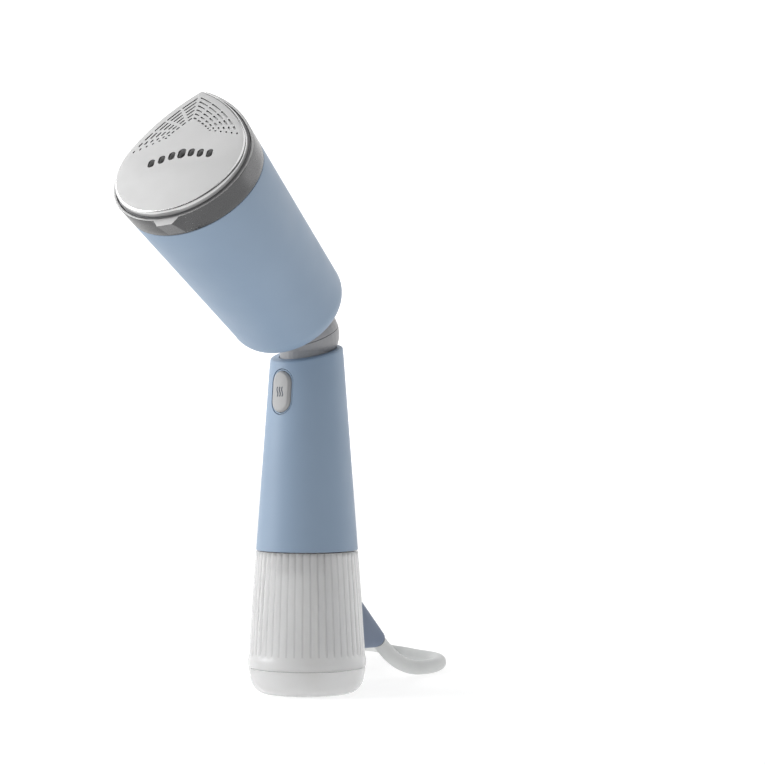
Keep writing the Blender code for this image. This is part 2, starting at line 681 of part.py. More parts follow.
def build_dock():
    """The plug that closes the handle and the tank, with its seal, tube and filter."""
    mouth = (0, MOUTH_Y / MM)
    well = (0, WATER_LINE_Y / MM)
    dock = add("tank_dock", rod(25.2, 78.8, 82.3, 40), black())
    plug = [(0, 66), (17.2, 66), (17.2, 71.3), (15.2, 71.3), (15.2, 73.9), (17.2, 73.9), (17.2, 80), (0, 80)]
    shape(dock, lathe(plug, 32, mouth), "plug", operation="UNION")
    shape(dock, groove_block(0.3, 60, 90), "spine_room")
    shape(dock, rod(2.9, 60, 90, 16, well), "tube_hole")
    for side in (-1, 1):
        shape(dock, rod(1.5, 79.3, 90, 12, (14.8 * side, -14.6)), f"screw_hole_{side}")
    ring = [(16.35 + 0.85 * math.cos(a), 72.6 + 0.85 * math.sin(a)) for a in eighths()]
    add("dock_o_ring", lathe(ring, 32, mouth), black())
    add("pickup_tube", pipe(1.5, 2.6, 7.8, 87.2, 16, well), silicone())
    filter_cup = [(0, 5.5), (5, 5.5), (5, 15), (2.9, 15), (2.9, 7.5), (0, 7.5)]
    add("inlet_filter", lathe(filter_cup, 16, well), black())


def eighths():
    return [math.pi / 4 * i for i in range(8)]


def build_spine():
    """The tongue behind the tank that brings the cord down to its outlet."""
    outline = [(20.5, 20), (29.2, 20), (29.2, 50), (27.0, 78.2), (20.5, 78.2)]
    spine = add("rear_spine", side_prism(outline, 8), blue())
    shape(spine, box((-7, 7), (20.5, 22.9), (70, 100)), "tongue", operation="UNION")
    shape(spine, box((-3.8, 3.8), (23.2, 26.0), (30, 90)), "channel")
    shape(spine, box((-3.8, 3.8), (25, 35), (33, 52)), "window")


# Cord ------------------------------------------------------------------------------


def relief_section(share, steps=20):
    """A ring across the tapered boot: a tall rounded block at the spine, round at its end."""
    top = Vector((0, 29.5, 58.5)).lerp(Vector((0, 63.8, 27.4)), share)
    bottom = Vector((0, 29.5, 21.0)).lerp(Vector((0, 57.4, 20.0)), share)
    centre = (top + bottom) / 2
    half_h = (top - bottom) / 2
    half_w = Vector((8.0 + (4.9 - 8.0) * share, 0, 0))
    power = 2 / (5.0 + (2.0 - 5.0) * share)
    ring = []
    for i in range(steps):
        angle = 2 * math.pi * i / steps
        c, s = math.cos(angle), math.sin(angle)
        across = math.copysign(abs(c) ** power, c)
        along = math.copysign(abs(s) ** power, s)
        ring.append((centre + half_w * across + half_h * along) * MM)
    return ring


def hank_outline(steps=8):
    """Round ends and a drawn-in waist, in millimetres along local Y."""
    half_run = HANK_HALF_RUN / MM
    end_r = HANK_END_R / MM
    waist = HANK_WAIST / MM
    side = []
    for i in range(1, 2 * steps):
        y = half_run * (1 - i / steps)
        side.append((waist + (end_r - waist) * math.sin(math.pi / 2 * abs(y) / half_run) ** 2, y))
    far = [(x, half_run + y) for x, y in arc((0, 0), end_r, 180, 0, 10)]
    near = [(-x, -y) for x, y in far]
    return far + side + near + [(-x, -y) for x, y in side]


def plug_ring(y, half_w, half_h, steps=16):
    """A rounded ring across the plug, whose underside is flat on the hank."""
    ring = []
    for i in range(steps):
        angle = 2 * math.pi * i / steps
        c, s = math.cos(angle), math.sin(angle)
        x = PLUG_X / MM + half_w * math.copysign(abs(c) ** 0.6, c)
        z = PLUG_Z / MM + half_h * math.copysign(abs(s) ** 0.6, s)
        ring.append(Vector((x, y, z)) * MM)
    return ring


def build_cord():
    rings = [relief_section(i / 5) for i in range(6)]
    add("cord_strain_relief", loft(rings), blue())
    tube("power_cord", CORD_ROUTE, CORD_R, cord_grey(), step=CORD_STEP / 2)

    place = Matrix.Translation((HANK_X, HANK_Y, 0))
    frame = empty("hank_frame", place @ Matrix.Rotation(HANK_TURN, 4, "Z"))
    low = HANK_LOW / MM
    high = HANK_HIGH / MM
    add("cord_hank", prism(hank_outline(), low, high), cord_grey(), frame)
    side = HANK_WAIST / MM + 1.4
    tie = add("cord_tie", box((-side - 1.2, side + 1.2), (-8, 8), (0, high + 1.5)), black(), frame)
    shape(tie, box((-side, side), (-9, 9), (1.2, high + 0.3)), "inside", frame)

    half_h = PLUG_HALF_H / MM
    rings = [plug_ring(-15, 5.2, 5.2), plug_ring(-30, 6.2, 6.2), plug_ring(-34, 12.0, 8.5)]
    rings += [plug_ring(-40, 16.5, half_h), plug_ring(-60, 17.0, half_h), plug_ring(-62, 16.0, half_h - 1)]
    add("plug_body", loft(rings), cord_grey(), frame)
    turn = Matrix.Rotation(math.radians(90), 4, "X")
    for number, side in ((1, 1), (2, -1)):
        pin = rod(2.4, 62.3, 81.3, 12)
        place = Matrix.Translation((PLUG_X + 9.5 * side * MM, 0, PLUG_Z)) @ turn
        bmesh.ops.transform(pin, matrix=place, verts=pin.verts)
        add(f"plug_pin_{number}", pin, brass(), frame)
    x = PLUG_X / MM
    z = PLUG_Z / MM
    route = [(x - 8.8, 12, z - 4.6), (x - 4, 1, z - 1.6), (x - 0.6, -8, z - 0.1), (x, -14.1, z)]
    tube("cord_plug_lead", route, CORD_R, cord_grey(), frame, step=CORD_STEP / 2)


# Assembly --------------------------------------------------------------------------


def frames():
    """Empties on the swivel: for the fixed half, and for the head with its rest turn."""
    lean = Matrix.Rotation(SWIVEL_LEAN, 4, "X")
    ball = Matrix.Translation(BALL) @ lean
    turned = Matrix.Translation(BALL) @ Matrix.Rotation(REST_TURN, 4, SWIVEL_AXIS)
    head = {
        "ball": empty("head_swivel", turned @ lean),
        "axis": empty("head_axis", turned @ Matrix.Rotation(HEAD_TILT, 4, "X")),
    }
    button = Matrix.Translation((0, 0, BUTTON_Z)) @ Matrix.Rotation(math.radians(90), 4, "X")
    return empty("ball_axis", ball), head, empty("button_axis", button)


def main():
    for old in list(bpy.data.objects):
        bpy.data.objects.remove(old, do_unlink=True)
    ball_frame, head_frame, button_frame = frames()
    build_sleeve(ball_frame, button_frame)
    build_button(button_frame)
    build_frame(ball_frame)
    build_electrics()
    build_pump()
    build_swivel(ball_frame, head_frame)
    build_head_shell(head_frame["axis"])
    build_face(head_frame["axis"])
    build_chamber(head_frame["axis"])
    build_head_lines(head_frame["axis"])
    build_tank()
    build_dock()
    build_spine()
    build_cord()


main()
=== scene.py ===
"""The finished look of a handheld garment steamer: finer shapes, finishes, cord and studio.

Everything stands in the model's own frame, in metres: +Z is up, the steam button faces -Y
and the steamer stands on its water tank at the origin. Names that end in _MM are millimetres.
"""

import json
import math

import bmesh
import bpy
import numpy as np
from mathutils import Matrix, Vector

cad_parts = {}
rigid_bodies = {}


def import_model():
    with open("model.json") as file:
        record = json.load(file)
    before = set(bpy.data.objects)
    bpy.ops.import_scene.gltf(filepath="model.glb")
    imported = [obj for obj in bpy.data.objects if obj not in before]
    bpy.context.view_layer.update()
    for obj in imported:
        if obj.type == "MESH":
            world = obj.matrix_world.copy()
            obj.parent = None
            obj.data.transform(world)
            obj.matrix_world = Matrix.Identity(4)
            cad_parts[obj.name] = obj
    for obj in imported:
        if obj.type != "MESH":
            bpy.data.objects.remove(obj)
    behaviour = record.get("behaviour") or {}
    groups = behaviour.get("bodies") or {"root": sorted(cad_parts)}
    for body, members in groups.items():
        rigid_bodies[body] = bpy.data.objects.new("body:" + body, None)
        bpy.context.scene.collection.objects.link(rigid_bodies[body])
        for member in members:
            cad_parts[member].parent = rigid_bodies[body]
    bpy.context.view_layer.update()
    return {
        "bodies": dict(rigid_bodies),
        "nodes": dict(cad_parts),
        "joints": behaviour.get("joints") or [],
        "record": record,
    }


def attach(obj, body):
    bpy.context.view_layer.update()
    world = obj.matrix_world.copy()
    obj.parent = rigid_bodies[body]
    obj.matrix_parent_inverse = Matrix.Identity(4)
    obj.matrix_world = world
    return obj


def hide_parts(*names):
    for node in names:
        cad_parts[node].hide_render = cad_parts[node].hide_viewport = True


MM = 0.001
GAP_MM = 0.3

# Camera: level with the middle of the steamer and turned 40 degrees, so it stands at its front right.
CAMERA_PLACE = (0.996, -1.1224, 0.180)
CAMERA_AZIMUTH = math.radians(40)
CAMERA_DIP = math.radians(0.368)
LENS_MM = 128.3
SENSOR_MM = 36.0

# Studio, in metres. A softbox is (name, azimuth, elevation, distance, size, power).
WORLD_GLOW = 0.12
FLOOR_Z = -0.0002
FLOOR_SHADE = 0.35
FLOOR_GLOW = 0.75
FLOOR_R = 6.0
WALL_SHADE = 0.4
WALL_GLOW = 1.0
WALL_R = 3.0
WALL_HEIGHT = 4.0
WALL_HALF_ANGLE = 60
SURROUND_SHADE = 0.2
SURROUND_GLOW = 0.72
SURROUND_HEIGHT = 1.4
LIGHT_TARGET = Vector((0, 0, 0.16))
SOFTBOXES = [
    ("key_left", -52, 30, 1.3, (0.9, 1.4), 17),
    ("top", 60, 80, 1.3, (1.2, 1.2), 5),
    ("edge_right", 150, 15, 1.3, (0.5, 1.4), 2),
]

# Swivel: the ball between handle and head, its leaning axis and the head's turn at rest.
BALL = Vector((0, 0, 0.197))
BALL_R_MM = 17.8
SWIVEL_LEAN = math.radians(24)
HEAD_TILT = math.radians(49.3)
REST_TURN = math.radians(18.6)
SWIVEL_AXIS = Vector((0, -math.sin(SWIVEL_LEAN), math.cos(SWIVEL_LEAN)))

# Handle.
SLEEVE_LOW_Z_MM = 78.5
SLEEVE_LOW_R_MM = 28.0
SLEEVE_TAPER = 0.0737
SLEEVE_WALL_MM = 2.2
SLEEVE_TOP_Z_MM = 187.0
SLEEVE_TOP_SLOPE = 0.245
SLEEVE_EDGE_MM = 1.3
NECK_HOLE_MM = 15.2

# Steam button: a cap whose flange is held behind the opening in the sleeve, and its icon.
BUTTON_Z_MM = 165.5
BUTTON_HALF_W_MM = 6.25
BUTTON_HALF_H_MM = 11.25
BUTTON_PROUD_MM = 1.1
BUTTON_SLOT_MM = 1.3
FLANGE_MM = 2.2
FLANGE_REAR_MM = 15.3
FLANGE_FRONT_MM = 16.8
ICON_PITCH_MM = 1.7
ICON_HALF_H_MM = 2.6
ICON_SWAY_MM = 0.45
ICON_LINE_R_MM = 0.26
ICON_SINK_MM = 0.22

# Head, along its own axis from the centre of the ball.
HEAD_REAR_MM = 16.3
HEAD_FILLET_MM = 13.2
SHELL_FRONT_MM = 138.0
RING_FRONT_MM = 152.0
FACE_FRONT_MM = 156.0
HEAD_WALL_MM = 2.2
HEAD_HOLE_MM = NECK_HOLE_MM - 1.9
REAR_R_MM = 32.5
REAR_DROP_MM = -3.4
FACE_R_MM = 39.4
FACE_TIP_MM = 56.4
FACE_DROP_MM = -22.3
SHOULDER = 0.433
TIP_MITRE = 1.21
NECK_SCREWS_MM = [(0, -16), (14, 8), (-14, 8)]
SCREW_HOLE_R_MM = 1.5

# Metal band and its lug.
BAND_WALL_MM = 1.4
LUG_REAR_MM = 139.5

# Soleplate: a disc with a skirt behind it, steam holes and pressed dashes. A steam hole is
# (x, y, half width, half height), and each one beside the middle has a twin.
PLATE_EDGE_MM = 2.6
PLATE_RIM_MM = 1.7
PLATE_POLISH_MM = 2.6
PLATE_REAR_MM = 152.0
PLATE_INSIDE_MM = 152.8
SKIRT_REAR_MM = 144
SKIRT_OUTSIDE_MM = 4.7
SKIRT_INSIDE_MM = 6.9
STEAM_HOLES_MM = [(0, 5.2, 1.9, 3.2), (5.6, 4.7, 1.5, 2.6), (11.1, 3.2, 1.5, 2.6), (16.7, 1.7, 1.5, 2.6)]
HOLE_BEVEL_MM = 0.45
DASH_ROWS = 6
DASH_HALF_W_MM = 0.5
DASH_DEPTH_MM = 0.6

# Tank: (height, radius) places of its outer side, from a rounded bead at the foot to a long taper.
TANK_SIDE_MM = [
    (14.3, 31.9),
    (14.6, 32.2),
    (15.2, 32.42),
    (16.5, 32.5),
    (18.2, 32.42),
    (19.6, 32.15),
    (21.0, 31.88),
    (24.0, 31.75),
    (34.0, 31.1),
    (53.0, 29.9),
    (78.2, 27.95),
]
TANK_FOOT_Z_MM = 14.3
TANK_TOP_Z_MM = 77.9
TANK_DECK_Z_MM = 76.2
TANK_WALL_MM = 1.8
FLUTES = 44
FLUTE_DEPTH_MM = 0.75
FLUTE_FOOT_Z_MM = 20.0
FLUTE_FADE_MM = 4.0
MOUTH_Y_MM = -1.5
MOUTH_R_MM = 17.6
COLLAR_LOW_Z_MM = 66
COLLAR_TOP_Z_MM = 77

# Cup under the tank, and the groove that tank and cup leave behind them for the spine.
CUP_TOP_Z_MM = 14.0
CUP_TOP_R_MM = 32.1
CUP_STEP_R_MM = 30
CUP_STEP_Z_MM = 17.5
CUP_FLOOR_MM = 2.4
CUP_INSIDE_R_MM = 28.6
FOOT_R_MM = 23.5
GROOVE_HALF_W_MM = 8.3
GROOVE_Y_MM = 20.2

# Strain relief: (y, z) of its upper and lower edge, and its half width, at the spine and at its end.
RELIEF_TOP_MM = ((29.5, 58.5), (63.8, 27.4))
RELIEF_BOTTOM_MM = ((29.5, 21.0), (57.4, 20.0))
RELIEF_HALF_W_MM = (8.0, 4.9)
RELIEF_POWER = (5.0, 2.0)

# Cord: led straight out at the back, then folded into a hank behind the tank.
CORD_R_MM = 4.2
CORD_ROUTE_MM = [
    (0, 61.2, 23.2),
    (0, 67.5, 17.6),
    (-0.5, 77, 11.3),
    (-1.5, 88, 7),
    (-3, 100, 4.8),
    (-4.5, 113, 4.3),
    (-9.5, 126.5, 4.3),
    (-17, 137, 4.3),
    (-27.5, 145, 4.3),
    (-43.5, 150, 4.3),
    (-58.5, 156, 4.3),
    (-74.5, 161, 4.3),
    (-92, 175.5, 4.3),
    (-108, 184.5, 4.3),
    (-126, 184.5, 4.3),
    (-140.5, 176.5, 4.3),
    (-150, 162, 4.3),
    (-151.5, 142.5, 4.3),
    (-143.5, 124.5, 4.3),
]
HANK_FRAME = Matrix.Translation((-0.0758, 0.0865, 0)) @ Matrix.Rotation(math.radians(40), 4, "Z")
HANK_HALF_RUN_MM = 50.0
HANK_FOLD_R_MM = 25.5
HANK_DRAW_MM = 15.0
HANK_LOW_MM = 5.9
HANK_TURNS = 4
HANK_PITCH_MM = 8.6
HANK_START_MM = (-25.6, 57, 4.8)
STRAP_HALF_W_MM = 17.6
STRAP_TOP_MM = 47.1
STRAP_THICK_MM = 1.2
STRAP_CORNER_MM = 6.0
STRAP_HALF_LENGTH_MM = 8.0
PLUG_X_MM = -6.0
PLUG_Z_MM = 55.9
LEAD_MM = [
    (-24.3, 38, 41.8),
    (-20.8, 26, 45.3),
    (-15.6, 14, 50),
    (-10.6, 2, 53.9),
    (-7.3, -8, 55.6),
    (-6, -15, 55.8),
]

# Plug: (y, half width, half height) from the end of its ribbed sleeve to the rim round the pins.
PLUG_GRIP_MM = [
    (-30.6, 7.0, 6.6),
    (-32.5, 10.2, 7.9),
    (-35, 13.2, 8.9),
    (-39, 15.9, 9.8),
    (-43, 16.2, 9.3),
    (-50, 15.6, 8.6),
    (-56, 16.2, 9.2),
    (-58.5, 17.0, 9.9),
    (-60.8, 16.9, 9.9),
    (-61.6, 16.5, 9.5),
    (-62, 15.9, 8.9),
]
PLUG_RIBS = 5
PLUG_RIB_PITCH_MM = 2.5


def placed_frames():
    """Frames of the ball on its leaning axis, of the head at its turn and of the button."""
    turned = Matrix.Translation(BALL) @ Matrix.Rotation(REST_TURN, 4, SWIVEL_AXIS)
    button = Matrix.Translation((0, 0, BUTTON_Z_MM * MM))
    return {
        "ball": Matrix.Translation(BALL) @ Matrix.Rotation(SWIVEL_LEAN, 4, "X"),
        "head": turned @ Matrix.Rotation(HEAD_TILT, 4, "X"),
        "button": button @ Matrix.Rotation(math.radians(90), 4, "X"),
    }


# Finishes --------------------------------------------------------------------------

NOISE_LOW = 0.3
NOISE_HIGH = 0.7


class Finish:
    """A procedural material: one principled shader and the textures that vary it."""

    def __init__(self, name, roughness, **sockets):
        self.material = bpy.data.materials.new(name)
        self.material.use_nodes = True
        self.tree = self.material.node_tree
        self.shader = self.tree.nodes["Principled BSDF"]
        self.shader.inputs["Roughness"].default_value = roughness
        for socket, value in sockets.items():
            self.shader.inputs[socket.replace("_", " ")].default_value = value
        self.place = self.node("ShaderNodeTexCoord").outputs["Object"]
        self.normal = None

    def node(self, kind, **settings):
        made = self.tree.nodes.new(kind)
        for setting, value in settings.items():
            setattr(made, setting, value)
        return made

    def link(self, source, target):
        self.tree.links.new(source, target)

    def noise(self, scale, detail):
        texture = self.node("ShaderNodeTexNoise")
        texture.inputs["Scale"].default_value = scale
        texture.inputs["Detail"].default_value = detail
        self.link(self.place, texture.inputs["Vector"])
        return texture.outputs["Fac"]

    def spread(self, value, low, high):
        """Maps the middle range of a texture to the range from low to high."""
        remap = self.node("ShaderNodeMapRange")
        remap.inputs["From Min"].default_value = NOISE_LOW
        remap.inputs["From Max"].default_value = NOISE_HIGH
        remap.inputs["To Min"].default_value = low
        remap.inputs["To Max"].default_value = high
        self.link(value, remap.inputs["Value"])
        return remap.outputs["Result"]

    def colours(self, value, first, second):
        """The base colour wanders between two near colours."""
        ramp = self.node("ShaderNodeValToRGB")
        ramp.color_ramp.elements[0].position = NOISE_LOW
        ramp.color_ramp.elements[1].position = NOISE_HIGH
        ramp.color_ramp.elements[0].color = (*first, 1)
        ramp.color_ramp.elements[1].color = (*second, 1)
        self.link(value, ramp.inputs["Fac"])
        self.link(ramp.outputs["Color"], self.shader.inputs["Base Color"])

    def gloss(self, value, low, high):
        self.link(self.spread(value, low, high), self.shader.inputs["Roughness"])

    def bump(self, value, depth_mm, strength=1.0):
        """Adds a relief of this depth over those already there."""
        relief = self.node("ShaderNodeBump")
        relief.inputs["Strength"].default_value = strength
        relief.inputs["Distance"].default_value = depth_mm * MM
        self.link(value, relief.inputs["Height"])
        if self.normal:
            self.link(self.normal, relief.inputs["Normal"])
        self.normal = relief.outputs["Normal"]
        self.link(self.normal, self.shader.inputs["Normal"])


def moulded(name, dark, light, roughness, grain_mm, **sockets):
    """Moulded plastic: faint flow marks, an eroded fine grain and a slightly uneven gloss."""
    made = Finish(name, roughness, **sockets)
    made.colours(made.noise(22, 3.0), dark, light)
    made.gloss(made.noise(60, 5.0), roughness - 0.04, roughness + 0.05)
    made.bump(made.noise(2600, 2.0), grain_mm)
    made.bump(made.noise(35, 2.0), grain_mm * 0.8)
    return made.material


def metal(name, dark, light, roughness, scale=900, depth_mm=0.004):
    """Worked metal: a fine grain from its making, and handling marks in its gloss."""
    made = Finish(name, roughness, Metallic=1.0)
    made.colours(made.noise(40, 4.0), dark, light)
    made.gloss(made.noise(scale * 0.4, 6.0), roughness - 0.05, roughness + 0.07)
    made.bump(made.noise(scale, 4.0), depth_mm)
    return made.material


def soft_blue():
    return moulded("blue_shell", (0.232, 0.313, 0.42), (0.25, 0.335, 0.447), 0.46, 0.010)


# Painted shade: the cord boot is the shell's blue plastic, darkened as for the shade it lies in.
def blue_painted_shade():
    return moulded("blue_relief_painted_shade", (0.13, 0.165, 0.24), (0.15, 0.19, 0.27), 0.55, 0.012)


def taupe():
    return moulded("grey_joint", (0.28, 0.28, 0.29), (0.31, 0.31, 0.32), 0.38, 0.006)


def button_grey():
    return moulded("grey_button", (0.34, 0.34, 0.34), (0.37, 0.37, 0.37), 0.36, 0.006)


def icon_slate():
    return moulded("slate_icon", (0.10, 0.12, 0.15), (0.13, 0.15, 0.185), 0.5, 0.008)


def dock_grey():
    return moulded("grey_dock", (0.42, 0.42, 0.425), (0.46, 0.46, 0.465), 0.42, 0.008)


def matt_black():
    return moulded("black_moulding", (0.022, 0.022, 0.025), (0.035, 0.035, 0.038), 0.5, 0.008)


def rubber():
    return moulded("silicone_rubber", (0.66, 0.64, 0.60), (0.74, 0.72, 0.68), 0.58, 0.012)


def board():
    """Circuit board: solder mask with fine tracks under it."""
    made = Finish("green_board", 0.4)
    tracks = made.node("ShaderNodeTexBrick")
    tracks.inputs["Scale"].default_value = 260
    tracks.inputs["Mortar Size"].default_value = 0.03
    tracks.inputs["Color1"].default_value = (0.02, 0.16, 0.07, 1)
    tracks.inputs["Color2"].default_value = (0.025, 0.19, 0.08, 1)
    tracks.inputs["Mortar"].default_value = (0.05, 0.30, 0.14, 1)
    made.link(made.place, tracks.inputs["Vector"])
    made.link(tracks.outputs["Color"], made.shader.inputs["Base Color"])
    made.bump(tracks.outputs["Fac"], 0.03, 0.6)
    return made.material


def plate_steel():
    """The soleplate's bead-blasted, coated steel: pale and evenly matt."""
    made = Finish("soleplate_steel", 0.42, Metallic=0.3)
    made.colours(made.noise(30, 3.0), (0.465, 0.465, 0.465), (0.495, 0.495, 0.495))
    made.gloss(made.noise(160, 6.0), 0.44, 0.52)
    made.bump(made.noise(3500, 2.0), 0.004)
    return made.material


def frosted(name, dark, light):
    """Milky, see-through plastic with a satin skin."""
    made = Finish(name, 0.4, IOR=1.3, Transmission_Weight=0.72, Coat_Weight=1.0, Coat_Roughness=0.16)
    made.colours(made.noise(25, 3.0), dark, light)
    made.gloss(made.noise(90, 4.0), 0.38, 0.44)
    made.bump(made.noise(2200, 2.0), 0.006)
    made.bump(made.noise(28, 2.0), 0.012)
    return made.material


def cord_jacket():
    """Soft vinyl jacket: satin, faintly rippled along its length."""
    made = Finish("grey_cord_jacket", 0.5)
    made.colours(made.noise(45, 3.0), (0.56, 0.57, 0.565), (0.62, 0.63, 0.625))
    made.gloss(made.noise(120, 4.0), 0.44, 0.56)
    made.bump(made.noise(1800, 2.0), 0.012)
    made.bump(made.noise(90, 2.0), 0.05)
    return made.material


def strap_cloth():
    """Woven hook-and-loop strap."""
    made = Finish("black_strap", 0.85, Sheen_Weight=0.4)
    made.colours(made.noise(400, 3.0), (0.02, 0.02, 0.022), (0.05, 0.05, 0.053))
    weave = made.node("ShaderNodeTexWave", bands_direction="Z")
    weave.inputs["Scale"].default_value = 420
    weave.inputs["Distortion"].default_value = 1.5
    made.link(made.place, weave.inputs["Vector"])
    made.bump(weave.outputs["Fac"], 0.12, 0.8)
    made.bump(made.noise(1500, 3.0), 0.06)
    return made.material


def make_finishes():
    """Finishes by the record's slot, and the extra ones that single pieces take."""
    return {
        "blue_plastic": soft_blue(),
        "grey_plastic": taupe(),
        "black_plastic": matt_black(),
        "satin_steel": metal(
            "satin_steel_band", (0.10, 0.10, 0.102), (0.115, 0.115, 0.117), 0.27, scale=3500, depth_mm=0.001
        ),
        "bright_steel": metal(
            "bright_steel_edge", (0.62, 0.62, 0.62), (0.68, 0.68, 0.68), 0.2, scale=3500, depth_mm=0.001
        ),
        "zinc_steel": metal("zinc_plated_steel", (0.52, 0.53, 0.54), (0.60, 0.61, 0.62), 0.35),
        "cast_aluminium": metal(
            "cast_aluminium_body", (0.58, 0.58, 0.59), (0.68, 0.68, 0.69), 0.5, scale=500, depth_mm=0.03
        ),
        "brass": metal("turned_brass", (0.66, 0.48, 0.21), (0.76, 0.56, 0.27), 0.28),
        "silicone": rubber(),
        "frosted_plastic": frosted("frosted_tank", (0.95, 0.95, 0.95), (0.98, 0.98, 0.98)),
        # The darker copy of the frosted finish is painted shade in the valleys between the tank's ribs.
        "frosted_groove_painted_shade": frosted("frosted_groove_painted_shade", (0.78, 0.78, 0.78), (0.82, 0.82, 0.82)),
        "cord_grey": cord_jacket(),
        "board_green": board(),
        # The boot's darker blue is painted shade on the shell's blue plastic.
        "relief": blue_painted_shade(),
        "button": button_grey(),
        "icon": icon_slate(),
        "dock": dock_grey(),
        "coated_casting": metal(
            "dark_coated_casting", (0.10, 0.10, 0.11), (0.14, 0.14, 0.15), 0.5, scale=500, depth_mm=0.03
        ),
        "plate": plate_steel(),
        "strap": strap_cloth(),
        "pins": metal("nickel_pins", (0.66, 0.65, 0.62), (0.74, 0.73, 0.70), 0.2),
    }


# Shapes ----------------------------------------------------------------------------


def loft(rings, closed=False):
    """Skins rings of equal point counts in millimetres. Closed joins the last to the first."""
    bm = bmesh.new()
    rows = [[bm.verts.new(Vector(point) * MM) for point in ring] for ring in rings]
    count = len(rows[0])
    joined = list(zip(rows, rows[1:]))
    if closed:
        joined.append((rows[-1], rows[0]))
    for low, high in joined:
        for i in range(count):
            j = (i + 1) % count
            bm.faces.new((low[i], low[j], high[j], high[i]))
    if not closed:
        bm.faces.new(rows[0])
        bm.faces.new(rows[-1])
    return bm


def lathe(profile, segments=96, centre=(0, 0)):
    """A body turned about Z from (radius, height) corners that start and end on the axis."""
    rings = []
    for radius, height in profile:
        wide = max(radius, 0.001)
        rings.append(
            [
                (
                    centre[0] + wide * math.cos(2 * math.pi * i / segments),
                    centre[1] + wide * math.sin(2 * math.pi * i / segments),
                    height,
                )
                for i in range(segments)
            ]
        )
    return loft(rings)


def rod(radius, low, high, segments=96, centre=(0, 0)):
    return lathe([(0, low), (radius, low), (radius, high), (0, high)], segments, centre)


def block(x, y, z):
    """A cuboid from three (low, high) pairs."""
    corners = [(x[0], y[0]), (x[1], y[0]), (x[1], y[1]), (x[0], y[1])]
    return loft([[(a, b, height) for a, b in corners] for height in z])


def prism(outline, low, high):
    return loft([[(x, y, z) for x, y in outline] for z in (low, high)])


def merged(parts):
    """One mesh of several that don't touch."""
    whole = bmesh.new()
    for part in parts:
        mesh = bpy.data.meshes.new("part")
        part.to_mesh(mesh)
        part.free()
        whole.from_mesh(mesh)
        bpy.data.meshes.remove(mesh)
    return whole


def quarter(radius, steps):
    """(inwards, down) offsets of a rounded edge, from its side to its top."""
    offsets = []
    for i in range(steps + 1):
        turn = math.pi / 2 * i / steps
        offsets.append((radius * (1 - math.cos(turn)), radius * (1 - math.sin(turn))))
    return offsets


def stadium(half_w, half_h, steps=12):
    """Two half rounds joined by straight sides."""
    run = half_h - half_w
    outline = []
    for i in range(2 * steps + 2):
        angle = math.pi * (i - (i > steps)) / steps
        lift = run if i <= steps else -run
        outline.append((half_w * math.cos(angle), lift + half_w * math.sin(angle)))
    return outline


def body(name, bm, frame=None):
    """An object of the mesh, placed by the frame, with its faces pointing out."""
    if frame:
        bmesh.ops.transform(bm, matrix=frame, verts=bm.verts)
    bmesh.ops.recalc_face_normals(bm, faces=bm.faces)
    mesh = bpy.data.meshes.new(name)
    bm.to_mesh(mesh)
    bm.free()
    made = bpy.data.objects.new(name, mesh)
    bpy.context.scene.collection.objects.link(made)
    return made


def combine(target, bm, frame=None, operation="DIFFERENCE"):
    """Cuts the mesh from the object, or joins it on, and keeps the result as its mesh."""
    tool = body("tool", bm, frame)
    modifier = target.modifiers.new("combine", "BOOLEAN")
    modifier.operation = operation
    modifier.solver = "EXACT"
    modifier.object = tool
    graph = bpy.context.evaluated_depsgraph_get()
    result = bpy.data.meshes.new_from_object(target.evaluated_get(graph))
    target.modifiers.remove(modifier)
    old = target.data
    target.data = result
    bpy.data.meshes.remove(old)
    bpy.data.objects.remove(tool, do_unlink=True)


def settle(made, finish, slot, rides_on, *stands_for, sharp=35):
    """Gives a piece its finish and its body, and hides the CAD nodes that it stands for."""
    made.data.materials.clear()
    made.data.materials.append(finish)
    made.data.shade_smooth()
    made.data.set_sharp_from_angle(angle=math.radians(sharp))
    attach(made, rides_on)
    if stands_for:
        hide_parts(*stands_for)
    return made


def refinish(made, more, frame, choose):
    """Adds finishes, and picks each face's by its normal and its centre in the frame."""
    inverse = frame.inverted()
    turn = inverse.to_3x3()
    for finish in more:
        made.data.materials.append(finish)
    for face in made.data.polygons:
        face.material_index = choose((turn @ face.normal).normalized(), (inverse @ face.center) / MM)


# Outlines --------------------------------------------------------------------------


def sleeve_radius(z):
    return SLEEVE_LOW_R_MM - (z - SLEEVE_LOW_Z_MM) * SLEEVE_TAPER


def egg(radius, tip, centre_y, z, steps=24):
    """A ring at height z: round below, with two arcs that meet in a point at the top."""
    lean = math.sin(SHOULDER)
    side_r = (radius**2 - 2 * radius * tip * lean + tip**2) / (2 * (radius - tip * lean))
    side_x = (radius - side_r) * math.cos(SHOULDER)
    side_y = (radius - side_r) * math.sin(SHOULDER)
    tip_angle = math.atan2(tip - side_y, -side_x)
    right = []
    for i in range(steps + 1):
        angle = -math.pi / 2 + (SHOULDER + math.pi / 2) * i / steps
        right.append((radius * math.cos(angle), radius * math.sin(angle)))
    for i in range(1, steps + 1):
        angle = SHOULDER + (tip_angle - SHOULDER) * i / steps
        right.append((side_x + side_r * math.cos(angle), side_y + side_r * math.sin(angle)))
    left = [(-x, y) for x, y in reversed(right[1:-1])]
    return [(x, centre_y + y, z) for x, y in right + left]


def head_ring(z, inset=0.0):
    """The head's outline at a distance along its axis, moved inwards by an inset."""
    shoulder = HEAD_REAR_MM + HEAD_FILLET_MM
    share = max(0.0, (z - shoulder) / (FACE_FRONT_MM - shoulder))
    radius = REAR_R_MM + (FACE_R_MM - REAR_R_MM) * share
    tip = REAR_R_MM + (FACE_TIP_MM - REAR_R_MM) * share
    mitre = 1 + (TIP_MITRE - 1) * share
    drop = REAR_DROP_MM + (FACE_DROP_MM - REAR_DROP_MM) * share
    return egg(radius - inset, tip - inset * mitre, drop, z)


def round_ring(radius, z):
    return egg(radius, radius, 0.0, z)


# Head ------------------------------------------------------------------------------


